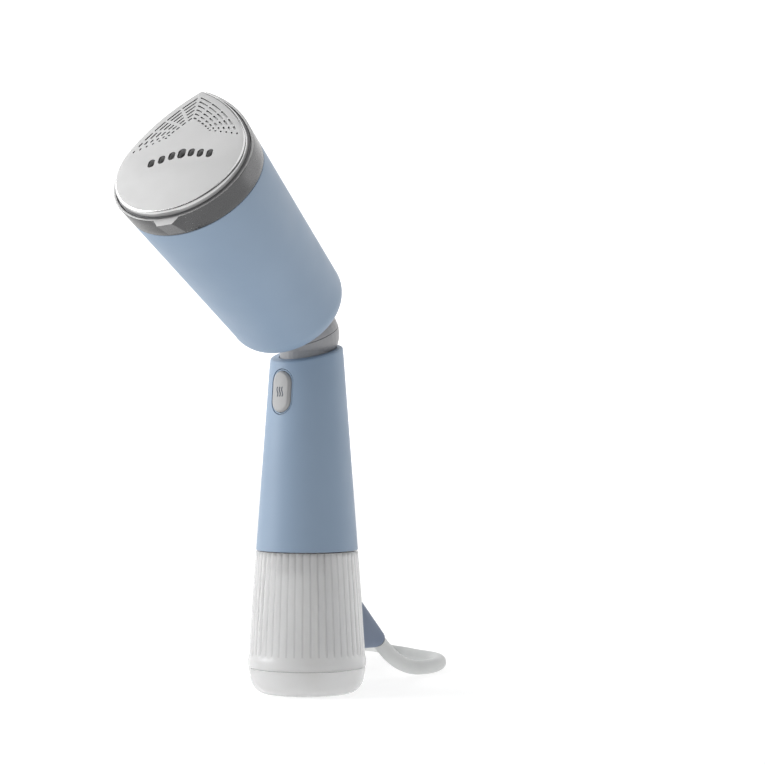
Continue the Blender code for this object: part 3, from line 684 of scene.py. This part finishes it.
def build_head_cover(frames, finishes):
    """The hollow cover: a rounded rear with a hole for the neck, and straight sides to the band."""
    shoulder = HEAD_REAR_MM + HEAD_FILLET_MM
    rings = []
    for inset, drop in reversed(quarter(HEAD_FILLET_MM, 14)):
        rings.append(head_ring(shoulder - HEAD_FILLET_MM + drop, inset))
    rings += [head_ring(z) for z in (50, 75, 100, 122)]
    rings += [head_ring(SHELL_FRONT_MM - drop, inset) for inset, drop in quarter(0.5, 3)]
    inner_fillet = HEAD_FILLET_MM - HEAD_WALL_MM
    rings += [head_ring(z, HEAD_WALL_MM) for z in (SHELL_FRONT_MM, 100, 60)]
    for inset, drop in quarter(inner_fillet, 8):
        rings.append(head_ring(shoulder - inner_fillet + drop, HEAD_WALL_MM + inset))
    rings.append(round_ring(HEAD_HOLE_MM, HEAD_REAR_MM + HEAD_WALL_MM))
    rings.append(round_ring(HEAD_HOLE_MM, HEAD_REAR_MM))
    cover = body("head_cover", loft(rings, closed=True), frames["head"])
    screws = [rod(SCREW_HOLE_R_MM, 12, 22, 24, place) for place in NECK_SCREWS_MM]
    combine(cover, merged(screws), frames["head"])
    settle(cover, finishes["blue_plastic"], "blue_plastic", "head", "head_shell")


def band_finish(normal, centre):
    """The forward-facing faces of the band's front edge and of the lug take the pale plate steel: a painted
    highlight where they catch the light.
    """
    return int(normal.z > 0.5 and centre.z > RING_FRONT_MM - 1)


def build_band(frames, finishes):
    """The metal band, rounded at its front edge, with a wedge-shaped lug below."""
    low = SHELL_FRONT_MM + GAP_MM
    wall = BAND_WALL_MM
    rings = [head_ring(low + drop, inset) for inset, drop in reversed(quarter(0.25, 2))]
    rings += [head_ring(z) for z in (142, 147)]
    rings += [head_ring(RING_FRONT_MM - drop, inset) for inset, drop in quarter(0.45, 4)]
    rings += [head_ring(RING_FRONT_MM, wall - 0.2), head_ring(RING_FRONT_MM - 0.2, wall)]
    rings += [head_ring(low, wall)]
    band = body("metal_band", loft(rings, closed=True), frames["head"])
    combine(band, lug(), frames["head"], "UNION")
    settle(band, finishes["satin_steel"], "satin_steel", "head", "trim_ring", sharp=50)
    # Painted highlight: the band's and lug's forward-facing faces take the pale plate steel.
    refinish(band, [finishes["plate"]], frames["head"], band_finish)


def trapezium(root_half_w, root_y, crest_half_w, crest_y, z):
    root = [(-root_half_w, root_y, z), (root_half_w, root_y, z)]
    return root + [(crest_half_w, crest_y, z), (-crest_half_w, crest_y, z)]


def lug():
    """A wedge on the lower side of the band, widest and highest at the front."""
    front = trapezium(7.2, -60.1, 4.2, -64.8, RING_FRONT_MM)
    rear = trapezium(4.8, -57.5, 4.8, -58.4, LUG_REAR_MM)
    return loft([front, rear])


def plate_dashes():
    """Pressed marks in nested chevrons towards the tip: long at the apex, dots at the ends."""
    starts = (0.02, 0.25, 0.47, 0.67, 0.84, 0.97)
    spans = (0.19, 0.18, 0.15, 0.11, 0.05, 0.02)
    marks = []
    for row in range(DASH_ROWS):
        apex = Vector((0.5, 25.0 - 3.1 * row))
        end = Vector((30.2 - 3.45 * row, -10.0 + 1.4 * row))
        outwards = Vector((0.76, 0.65)) * 5.2 * (1 - row / DASH_ROWS)
        control = (apex + end) / 2 + outwards
        shrink = 1 - 0.09 * row
        for start, span in zip(starts, spans):
            ends = []
            for share in (start, start + max(span * shrink, 0.02)):
                left = apex.lerp(control, share)
                right = control.lerp(end, share)
                ends.append(left.lerp(right, share))
            marks.append(ends)
            marks.append([Vector((-p.x, p.y)) for p in ends])
    return marks


def groove(start, end, half_width, floor, top):
    """A cutter for one pressed mark: a bar with round ends, narrower at its floor."""
    along = end - start
    if along.length < 0.5:
        along = Vector((0.5, 0))
    run = along.length / 2
    middle = (start + end) / 2
    angle = math.atan2(along.y, along.x)
    rings = []
    for z, half in ((floor, half_width * 0.5), (top, half_width)):
        ring = []
        for x, y in stadium(half, run + half, 3):
            across = Vector((y, x))
            across.rotate(Matrix.Rotation(angle, 2))
            ring.append((middle.x + across.x, middle.y + across.y, z))
        rings.append(ring)
    return loft(rings)


def plate_finish(normal, centre):
    """The plate's rim is polished; the walls of its holes and pressed marks take the dark band steel,
    painted shade in these recesses.
    """
    if normal.z > 0.97 or centre.z < FACE_FRONT_MM - PLATE_RIM_MM:
        return 0
    outline = head_ring(FACE_FRONT_MM, PLATE_EDGE_MM)
    from_edge = min(math.hypot(centre.x - point[0], centre.y - point[1]) for point in outline)
    return 1 if from_edge < PLATE_POLISH_MM else 2


def steam_hole(x, y, half_w, half_h):
    """A cutter for one oval hole with a bevelled mouth."""
    levels = [(PLATE_REAR_MM - 0.5, 0), (FACE_FRONT_MM - 0.55, 0), (FACE_FRONT_MM + 0.2, HOLE_BEVEL_MM)]
    rings = []
    for z, more in levels:
        oval = stadium(half_w + more, half_h + more)
        rings.append([(x + a, FACE_DROP_MM + y + b, z) for a, b in oval])
    return loft(rings)


def build_plate(frames, finishes):
    """The soleplate: rounded rim, seven oval steam holes and the pressed chevrons."""
    edge = PLATE_EDGE_MM
    rings = [head_ring(PLATE_INSIDE_MM, SKIRT_INSIDE_MM), head_ring(SKIRT_REAR_MM, SKIRT_INSIDE_MM)]
    rings += [head_ring(SKIRT_REAR_MM, SKIRT_OUTSIDE_MM), head_ring(PLATE_REAR_MM, SKIRT_OUTSIDE_MM)]
    rings += [head_ring(PLATE_REAR_MM, edge + 0.3), head_ring(PLATE_REAR_MM + 0.3, edge)]
    rings += [head_ring(FACE_FRONT_MM - drop, edge + inset) for inset, drop in quarter(PLATE_RIM_MM, 7)]
    plate = body("steam_plate", loft(rings), frames["head"])

    cutters = []
    for x, y, half_w, half_h in STEAM_HOLES_MM:
        for side in (-1, 1) if x else (1,):
            cutters.append(steam_hole(x * side, y, half_w, half_h))
    low = FACE_FRONT_MM - DASH_DEPTH_MM
    for start, end in plate_dashes():
        cutters.append(groove(start, end, DASH_HALF_W_MM, low, FACE_FRONT_MM + 0.2))
    combine(plate, merged(cutters), frames["head"])
    settle(plate, finishes["plate"], "satin_steel", "head", "soleplate", sharp=30)
    # Painted shade: the walls of the steam holes and pressed marks take the dark band steel.
    refinish(plate, [finishes["bright_steel"], finishes["satin_steel"]], frames["head"], plate_finish)


# Handle ----------------------------------------------------------------------------


def top_height(sine):
    """Height of the slanted top on the sleeve's side, by the sine of the place round it."""
    rise = SLEEVE_TOP_SLOPE * sine
    axis_r = SLEEVE_LOW_R_MM + SLEEVE_LOW_Z_MM * SLEEVE_TAPER
    return (SLEEVE_TOP_Z_MM + rise * axis_r) / (1 + rise * SLEEVE_TAPER)


def sleeve_ring(share, inset=0.0, drop=0.0, segments=128):
    """A ring between the sleeve's foot and its slanted top."""
    ring = []
    for i in range(segments):
        angle = 2 * math.pi * i / segments
        sine = math.sin(angle)
        z = SLEEVE_LOW_Z_MM + (top_height(sine) - SLEEVE_LOW_Z_MM) * share
        radius = sleeve_radius(z) - inset
        slant = SLEEVE_TOP_SLOPE * inset * sine * share
        ring.append((radius * math.cos(angle), radius * sine, z - drop - slant))
    return ring


def hole_ring(radius, drop, segments=128):
    """A ring of the neck's hole, in the plane of the slanted top or below it."""
    ring = []
    for i in range(segments):
        angle = 2 * math.pi * i / segments
        y = radius * math.sin(angle)
        ring.append((radius * math.cos(angle), y, SLEEVE_TOP_Z_MM + SLEEVE_TOP_SLOPE * y - drop))
    return ring


def build_sleeve(frames, finishes):
    """The handle's sleeve, with a seat for the ball and the button's opening cut from it."""
    rings = [sleeve_ring(0, SLEEVE_WALL_MM), sleeve_ring(0, 0.3), sleeve_ring(0, 0, -0.3)]
    rings += [sleeve_ring(share) for share in (0.2, 0.4, 0.6, 0.8, 0.95)]
    rings += [sleeve_ring(1, inset, drop) for inset, drop in quarter(SLEEVE_EDGE_MM, 7)]
    rings += [hole_ring(NECK_HOLE_MM + 0.4, 0), hole_ring(NECK_HOLE_MM, 0.4), hole_ring(NECK_HOLE_MM, 2)]
    rings += [sleeve_ring(1, SLEEVE_WALL_MM, 2.4)]
    sleeve = body("handle_sleeve", loft(rings, closed=True))
    seat = BALL_R_MM + GAP_MM
    ball = [(seat * math.cos(a), seat * math.sin(a)) for a in np.linspace(-1.57, 1.57, 40)]
    combine(sleeve, lathe(ball), frames["ball"])
    opening = stadium(BUTTON_HALF_W_MM + BUTTON_SLOT_MM, BUTTON_HALF_H_MM + BUTTON_SLOT_MM, 20)
    combine(sleeve, prism(opening, 12, 30), frames["button"])
    settle(sleeve, finishes["blue_plastic"], "blue_plastic", "handle", "handle_shell")


def button_height(x, y):
    """How far the button's face stands out from the handle's axis."""
    radius = sleeve_radius(BUTTON_Z_MM + y) + BUTTON_PROUD_MM
    return math.sqrt(radius**2 - x**2)


def build_button(frames, finishes):
    """The cap, with a flange, a bevelled rim and a shallow dish."""
    half_w = BUTTON_HALF_W_MM
    half_h = BUTTON_HALF_H_MM
    flange = stadium(half_w + FLANGE_MM, half_h + FLANGE_MM)
    rings = [[(x, y, z) for x, y in flange] for z in (FLANGE_REAR_MM, FLANGE_FRONT_MM)]
    rings.append([(x, y, FLANGE_FRONT_MM) for x, y in stadium(half_w, half_h)])
    bevel = [(0, 1.15), (0.12, 0.8), (0.75, 0.18), (1.0, 0.03), (1.3, 0.0)]
    bevel += [(2.4, 0.12), (3.6, 0.2), (5.0, 0.25), (half_w - 0.05, 0.26)]
    for inset, drop in bevel:
        rings.append(
            [(x, y, button_height(x, y) - drop) for x, y in stadium(half_w - inset, half_h - inset)]
        )
    cap = body("button_cap", loft(rings), frames["button"])
    settle(cap, finishes["button"], "grey_plastic", "button", "steam_button")


def build_icon(frames, finishes):
    """Three wavy steam lines that lie in the button's dish."""
    steps = 12
    waves = []
    for x in (-ICON_PITCH_MM, 0.0, ICON_PITCH_MM):
        path = []
        for i in range(steps + 1):
            y = -ICON_HALF_H_MM + 2 * ICON_HALF_H_MM * i / steps
            across = x + ICON_SWAY_MM * math.sin(2 * math.pi * i / steps)
            path.append(Vector((across, y, button_height(across, y) - ICON_SINK_MM)))
        waves.append(round_tube(path, ICON_LINE_R_MM, 8))
    icon = body("button_steam_lines", merged(waves), frames["button"])
    settle(icon, finishes["icon"], "grey_plastic", "button")


# Tank ------------------------------------------------------------------------------


def tank_radius(z):
    """The tank's radius over its ribs."""
    heights, radii = zip(*TANK_SIDE_MM)
    return float(np.interp(z, heights, radii))


def fluted_ring(z, segments_per_flute=8):
    """A ring of rounded ribs, which fade out into the smooth band at the tank's foot."""
    share = min(1.0, max(0.0, (z - FLUTE_FOOT_Z_MM) / FLUTE_FADE_MM))
    depth = FLUTE_DEPTH_MM * share * share * (3 - 2 * share)
    segments = FLUTES * segments_per_flute
    ring = []
    for i in range(segments):
        angle = 2 * math.pi * i / segments
        rib = abs(math.cos(FLUTES * angle / 2)) ** 0.8
        radius = tank_radius(z) - depth * (1 - rib)
        ring.append((radius * math.cos(angle), radius * math.sin(angle), z))
    return ring


def groove_block(more, low, high):
    """The room behind the tank for the spine, widened by more on every side."""
    half_w = GROOVE_HALF_W_MM + more
    return block((-half_w, half_w), (GROOVE_Y_MM - more, 60), (low, high))


def tank_finish(_normal, centre):
    """The narrow grooves between the ribs take a darker copy of the frosted finish: painted shade in the
    valleys.
    """
    outside = math.hypot(centre.x, centre.y) > tank_radius(centre.z) - 1.2
    rib = abs(math.cos(FLUTES * math.atan2(centre.y, centre.x) / 2))
    return int(outside and rib < 0.3 and 21.5 < centre.z < TANK_DECK_Z_MM)


def build_tank(finishes):
    """The open tank: fluted outside, smooth inside, with a collar round its mouth."""
    foot = [TANK_FOOT_Z_MM, 14.6, 15.2, 16.5, 18.2, 19.6, 20.3, 21.0, 21.8, 22.6, 24.0]
    side = [34.0, 44.0, 53.0, 65.0, TANK_TOP_Z_MM]
    shell = body("fluted_tank", loft([fluted_ring(z) for z in foot + side]))

    wall = TANK_WALL_MM + GAP_MM
    open_z = TANK_FOOT_Z_MM - 1.3
    inner = [(0, open_z), (tank_radius(TANK_FOOT_Z_MM) - wall, open_z)]
    inner += [(tank_radius(z) - wall, z) for z in (18.2, 24, 34, 53, TANK_DECK_Z_MM)]
    inner.append((0, TANK_DECK_Z_MM))
    hollow = body("hollow", lathe(inner))
    combine(hollow, groove_block(TANK_WALL_MM, 0, 90))
    cut_by_object(shell, hollow)

    mouth = (0, MOUTH_Y_MM)
    collar = rod(MOUTH_R_MM + TANK_WALL_MM, COLLAR_LOW_Z_MM, COLLAR_TOP_Z_MM, 96, mouth)
    combine(shell, collar, None, "UNION")
    bore = [(0, 60), (MOUTH_R_MM, 60), (MOUTH_R_MM, 77.6), (MOUTH_R_MM + 0.8, 79), (0, 79)]
    combine(shell, lathe(bore, 96, mouth))
    combine(shell, groove_block(0, 0, 90))
    settle(shell, finishes["frosted_plastic"], "frosted_plastic", "tank", "water_tank")
    # Painted shade: faces in the narrow grooves between the ribs take the darker frosted finish.
    refinish(shell, [finishes["frosted_groove_painted_shade"]], Matrix(), tank_finish)


def cut_by_object(target, tool):
    """Cuts one object from another and removes the cutter."""
    bm = bmesh.new()
    bm.from_mesh(tool.data)
    bpy.data.objects.remove(tool, do_unlink=True)
    combine(target, bm)


def cup_side(low_r, low_z, high_r, high_z, steps=14):
    """A quarter ellipse from the flat foot out to the widest ring."""
    corners = []
    for i in range(steps + 1):
        turn = math.pi / 2 * i / steps
        radius = low_r + (high_r - low_r) * math.sin(turn)
        corners.append((radius, high_z - (high_z - low_z) * math.cos(turn)))
    return corners


def build_cup(finishes):
    """The cup: a flat foot, an elliptical side and a step that stands inside the tank."""
    side = cup_side(FOOT_R_MM, 0.0, CUP_TOP_R_MM, CUP_TOP_Z_MM - 0.3)
    profile = [(0, 0.3), (FOOT_R_MM - 3, 0.3), (FOOT_R_MM - 2.4, 0), *side]
    profile += [(CUP_TOP_R_MM - 0.3, CUP_TOP_Z_MM), (CUP_STEP_R_MM, CUP_TOP_Z_MM)]
    profile += [(CUP_STEP_R_MM, CUP_STEP_Z_MM - 0.2), (CUP_STEP_R_MM - 0.2, CUP_STEP_Z_MM)]
    profile.append((0, CUP_STEP_Z_MM))
    cup = body("tank_cup", lathe(profile))
    side = cup_side(FOOT_R_MM - 1.5, CUP_FLOOR_MM, CUP_INSIDE_R_MM, 13.0)
    hollow = body("hollow", lathe([(0, CUP_FLOOR_MM), *side, (CUP_INSIDE_R_MM, 18), (0, 18)]))
    combine(hollow, groove_block(TANK_WALL_MM, -1, 90))
    cut_by_object(cup, hollow)
    combine(cup, groove_block(0, -1, 90))
    combine(cup, groove_block(TANK_WALL_MM + 0.3, CUP_TOP_Z_MM, 20))
    settle(cup, finishes["frosted_plastic"], "frosted_plastic", "tank", "tank_base")


# Cord ------------------------------------------------------------------------------


def smooth_route(points, step):
    """Points about a step apart on a natural cubic spline through the given ones."""
    knots = np.array(points, float)
    spans = np.linalg.norm(np.diff(knots, axis=0), axis=1)
    places = np.concatenate([[0.0], np.cumsum(spans)])
    slopes = np.diff(knots, axis=0) / spans[:, None]
    system = np.eye(len(knots))
    bends = np.zeros_like(knots)
    for i in range(1, len(knots) - 1):
        system[i, i - 1 : i + 2] = spans[i - 1], 2 * (spans[i - 1] + spans[i]), spans[i]
        bends[i] = 6 * (slopes[i] - slopes[i - 1])
    bends = np.linalg.solve(system, bends)
    at = np.linspace(0, places[-1], max(2, round(places[-1] / step) + 1))
    span = np.clip(np.searchsorted(places, at, side="right") - 1, 0, len(spans) - 1)
    wide = spans[span][:, None]
    after = (at - places[span])[:, None]
    before = wide - after
    curve = (bends[span] * before**3 + bends[span + 1] * after**3) / (6 * wide)
    curve += (knots[span] / wide - bends[span] * wide / 6) * before
    curve += (knots[span + 1] / wide - bends[span + 1] * wide / 6) * after
    return curve


def round_tube(path, radius, sides=24):
    """A tube along points, with rings square to it and closed ends."""
    rings = []
    side = None
    for i, place in enumerate(path):
        ahead = (path[min(i + 1, len(path) - 1)] - path[max(i - 1, 0)]).normalized()
        guess = side if side else ahead.orthogonal()
        side = (guess - ahead * guess.dot(ahead)).normalized()
        other = ahead.cross(side)
        ring = []
        for k in range(sides):
            angle = 2 * math.pi * k / sides
            ring.append(place + (side * math.cos(angle) + other * math.sin(angle)) * radius)
        rings.append(ring)
    return loft(rings)


def hank_points():
    """The folded length: runs drawn in at the tie, round folds, each turn on the last."""
    run = HANK_HALF_RUN_MM
    fold = HANK_FOLD_R_MM
    steps = 8
    turn = []
    for i in range(steps):
        y = run - 2 * run * i / steps
        turn.append((-(fold - HANK_DRAW_MM * math.cos(math.pi / 2 * y / run) ** 2), y))
    for i in range(steps):
        angle = math.pi + math.pi * i / steps
        turn.append((fold * math.cos(angle), -run + fold * math.sin(angle)))
    turn += [(-x, -y) for x, y in turn]
    flat = turn * HANK_TURNS + [turn[0]]
    steps_mm = [math.dist(a, b) for a, b in zip(flat, flat[1:])]
    lengths = np.concatenate([[0], np.cumsum(steps_mm)])
    rise = HANK_PITCH_MM * HANK_TURNS / lengths[-1]
    return [(x, y, HANK_LOW_MM + rise * along) for (x, y), along in zip(flat, lengths)]


def to_model(points, frame):
    """Points of the frame, in millimetres, as points of the model."""
    return [tuple((frame @ (Vector(point) * MM)) / MM) for point in points]


def build_cord(finishes):
    """One curve from the strain relief along the table, round the hank and into the plug."""
    knots = CORD_ROUTE_MM + to_model([HANK_START_MM] + hank_points() + LEAD_MM, HANK_FRAME)
    route = smooth_route(knots, 4.0)
    curve = bpy.data.curves.new("mains_cord", "CURVE")
    curve.dimensions = "3D"
    curve.bevel_depth = CORD_R_MM * MM
    curve.bevel_resolution = 6
    curve.use_fill_caps = True
    spline = curve.splines.new("POLY")
    spline.points.add(len(route) - 1)
    for point, place in zip(spline.points, route):
        point.co = (*(place * MM), 1)
    curve.materials.append(finishes["cord_grey"])
    cord = bpy.data.objects.new("mains_cord", curve)
    bpy.context.scene.collection.objects.link(cord)
    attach(cord, "handle")
    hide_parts("power_cord", "cord_hank", "cord_plug_lead")
    return cord


def plug_ring(y, half_w, half_h, steps=48):
    """A rounded rectangle across the plug."""
    ring = []
    for i in range(steps):
        angle = 2 * math.pi * i / steps
        c, s = math.cos(angle), math.sin(angle)
        x = PLUG_X_MM + half_w * math.copysign(abs(c) ** 0.6, c)
        z = PLUG_Z_MM + half_h * math.copysign(abs(s) ** 0.6, s)
        ring.append((x, y, z))
    return ring


def build_plug(finishes):
    """The plug's body: a ribbed sleeve on the cord, a grip and a rim round the pins."""
    rings = [plug_ring(-15, 4.9, 4.9), plug_ring(-15.3, 5.2, 5.2)]
    for i in range(PLUG_RIBS):
        y = -17.2 - PLUG_RIB_PITCH_MM * i
        size = 5.4 + 0.16 * i
        rings += [plug_ring(y, size, size), plug_ring(y - 0.3, size - 0.8, size - 0.8)]
        rings += [plug_ring(y - 1.0, size - 0.8, size - 0.8), plug_ring(y - 1.3, size + 0.1, size + 0.1)]
    rings += [plug_ring(*place) for place in PLUG_GRIP_MM]
    plug = body("plug_grip", loft(rings), HANK_FRAME)
    return settle(plug, finishes["cord_grey"], "cord_grey", "handle", "plug_body")


def strap_ring(inset, corner, y):
    """A rounded rectangle across the hank, moved inwards by an inset."""
    half_w = STRAP_HALF_W_MM - inset
    high = STRAP_TOP_MM - inset
    ring = []
    for cx, cz, start in ((1, 1, 0), (-1, 1, 90), (-1, -1, 180), (1, -1, 270)):
        for i in range(7):
            angle = math.radians(start + 90 * i / 6)
            x = cx * (half_w - corner) + corner * math.cos(angle)
            z = (high - corner if cz > 0 else inset + corner) + corner * math.sin(angle)
            ring.append((x, y, z))
    return ring


def build_strap(finishes):
    """The tie: a strap with soft edges, closed round the hank's waist."""
    end = STRAP_HALF_LENGTH_MM
    thick = STRAP_THICK_MM
    rings = []
    for y, inset in ((-end, 0.35), (0.4 - end, 0.0), (end - 0.4, 0.0), (end, 0.35)):
        rings.append(strap_ring(inset, STRAP_CORNER_MM, y))
    for y in (end, -end):
        rings.append(strap_ring(thick, STRAP_CORNER_MM - 1, y))
    strap = body("hank_strap", loft(rings, closed=True), HANK_FRAME)
    settle(strap, finishes["strap"], "black_plastic", "handle", "cord_tie")
    return strap


def between(ends, share):
    return ends[0] + (ends[1] - ends[0]) * share


def edge_point(ends, share):
    """A point on an edge of the boot, which lies in the steamer's mid plane."""
    return Vector((0, *ends[0])).lerp(Vector((0, *ends[1])), share)


def relief_ring(share, shrink=0.0, steps=48):
    """A ring across the boot: a tall rounded block at the spine, rounder at its end."""
    top = edge_point(RELIEF_TOP_MM, share)
    bottom = edge_point(RELIEF_BOTTOM_MM, share)
    centre = (top + bottom) / 2
    reach = (top - bottom).length / 2
    half_h = (top - bottom).normalized() * (reach - shrink)
    half_w = Vector((between(RELIEF_HALF_W_MM, share) - shrink, 0, 0))
    power = 2 / between(RELIEF_POWER, share)
    ring = []
    for i in range(steps):
        angle = 2 * math.pi * i / steps
        c, s = math.cos(angle), math.sin(angle)
        across = math.copysign(abs(c) ** power, c)
        along = math.copysign(abs(s) ** power, s)
        ring.append(centre + half_w * across + half_h * along)
    return ring


def build_relief(finishes):
    """The cord's boot, with a soft edge at its end."""
    rings = [relief_ring(i / 12) for i in range(12)]
    rings += [relief_ring(0.965), relief_ring(0.985, 0.15), relief_ring(1.0, 0.55)]
    relief = body("cord_boot", loft(rings))
    # The boot takes the darker blue: painted shade on the shell's blue plastic.
    settle(relief, finishes["relief"], "blue_plastic", "handle", "cord_strain_relief", sharp=50)


# Everything the frame already has ---------------------------------------------------


def dress_frame(nodes, finishes):
    """Every CAD node that stays takes the finish of its own slot, or one chosen for it here."""
    special = {
        "rear_spine": "blue_plastic",
        "plug_pin_1": "pins",
        "plug_pin_2": "pins",
        "button_seal": "blue_plastic",
        "insulator_ring": "grey_plastic",
        "tank_dock": "dock",
        "inlet_filter": "silicone",
        "steam_chamber": "coated_casting",
    }
    for name, node in nodes.items():
        slot = special.get(name) or node.data.materials[0].name.split(".")[0]
        node.data.materials.clear()
        node.data.materials.append(finishes[slot])


def soften(nodes, names, width_mm):
    """Small rounded edges on pieces that stay as they are."""
    for name in names:
        bevel = nodes[name].modifiers.new("soft_edges", "BEVEL")
        bevel.width = width_mm * MM
        bevel.segments = 3
        bevel.limit_method = "ANGLE"
        bevel.angle_limit = math.radians(40)
        bevel.harden_normals = True


# Studio ----------------------------------------------------------------------------


def build_camera():
    """A long lens, level with the steamer's middle."""
    data = bpy.data.cameras.new("camera")
    data.sensor_width = SENSOR_MM
    data.lens = LENS_MM
    data.clip_start = 0.05
    data.clip_end = 20
    camera = bpy.data.objects.new("camera", data)
    bpy.context.scene.collection.objects.link(camera)
    tilt = Matrix.Rotation(math.pi / 2 - CAMERA_DIP, 4, "X")
    turn = Matrix.Rotation(CAMERA_AZIMUTH, 4, "Z")
    camera.matrix_world = Matrix.Translation(CAMERA_PLACE) @ turn @ tilt
    bpy.context.scene.camera = camera


def stage_finish(name, shade, glow):
    """Matt paper that glows a little, so that it stays evenly pale."""
    made = Finish(name, 0.9)
    made.colours(made.noise(3, 2.0), (shade - 0.01,) * 3, (shade + 0.01,) * 3)
    made.shader.inputs["Specular IOR Level"].default_value = 0.1
    made.shader.inputs["Emission Color"].default_value = (1, 1, 1, 1)
    made.shader.inputs["Emission Strength"].default_value = glow
    return made.material


def arc_sheet(name, profile, start, end, segments, finish):
    """Part of a surface turned about Z, from (radius, height) corners in metres."""
    bm = bmesh.new()
    rows = []
    for radius, z in profile:
        row = []
        for i in range(segments + 1):
            angle = math.radians(start + (end - start) * i / segments)
            row.append(bm.verts.new((radius * math.cos(angle), radius * math.sin(angle), z)))
        rows.append(row)
    for low, high in zip(rows, rows[1:]):
        for i in range(segments):
            bm.faces.new((low[i], low[i + 1], high[i + 1], high[i]))
    sheet = body(name, bm)
    sheet.data.shade_smooth()
    sheet.data.materials.append(finish)


def build_stage():
    """A pale floor, a bright backdrop behind it and a low, dimmer screen round the other sides."""
    floor = stage_finish("pale_paper", FLOOR_SHADE, FLOOR_GLOW)
    arc_sheet("studio_floor", [(0.001, FLOOR_Z), (0.5, FLOOR_Z), (FLOOR_R, FLOOR_Z)], 0, 360, 96, floor)
    wall = stage_finish("pale_backdrop", WALL_SHADE, WALL_GLOW)
    surround = stage_finish("pale_surround", SURROUND_SHADE, SURROUND_GLOW)
    middle = 90 + math.degrees(CAMERA_AZIMUTH)
    start = middle - WALL_HALF_ANGLE
    end = middle + WALL_HALF_ANGLE
    arc_sheet("studio_backdrop", [(WALL_R, FLOOR_Z), (WALL_R, WALL_HEIGHT)], start, end, 48, wall)
    low_wall = [(FLOOR_R, FLOOR_Z), (FLOOR_R, SURROUND_HEIGHT)]
    arc_sheet("studio_surround", low_wall, end, start + 360, 72, surround)


def softbox(name, azimuth, elevation, distance, size, power):
    """A rectangular soft light that points at the middle of the steamer."""
    data = bpy.data.lights.new(name, "AREA")
    data.shape = "RECTANGLE"
    data.size, data.size_y = size
    data.energy = power
    light = bpy.data.objects.new(name, data)
    bpy.context.scene.collection.objects.link(light)
    a = math.radians(azimuth)
    e = math.radians(elevation)
    way = Vector((math.sin(a) * math.cos(e), -math.cos(a) * math.cos(e), math.sin(e)))
    aim = way.to_track_quat("Z", "Y").to_matrix().to_4x4()
    light.matrix_world = Matrix.Translation(LIGHT_TARGET + way * distance) @ aim


def build_studio():
    scene = bpy.context.scene
    scene.view_settings.view_transform = "Standard"
    world = bpy.data.worlds.new("studio")
    world.use_nodes = True
    world.node_tree.nodes["Background"].inputs["Color"].default_value = (1, 1, 1, 1)
    world.node_tree.nodes["Background"].inputs["Strength"].default_value = WORLD_GLOW
    scene.world = world
    build_stage()
    for light in SOFTBOXES:
        softbox(*light)


def main():
    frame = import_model()
    finishes = make_finishes()
    frames = placed_frames()
    build_camera()
    dress_frame(frame["nodes"], finishes)

    cord = build_cord(finishes)
    plug = build_plug(finishes)
    strap = build_strap(finishes)

    build_relief(finishes)
    build_head_cover(frames, finishes)
    build_band(frames, finishes)
    build_plate(frames, finishes)
    build_sleeve(frames, finishes)
    build_button(frames, finishes)
    build_icon(frames, finishes)
    build_tank(finishes)
    build_cup(finishes)
    soften(frame["nodes"], ["neck_lower", "neck_upper"], 0.15)
    soften(frame["nodes"], ["rear_spine"], 0.4)
    build_studio()


main()
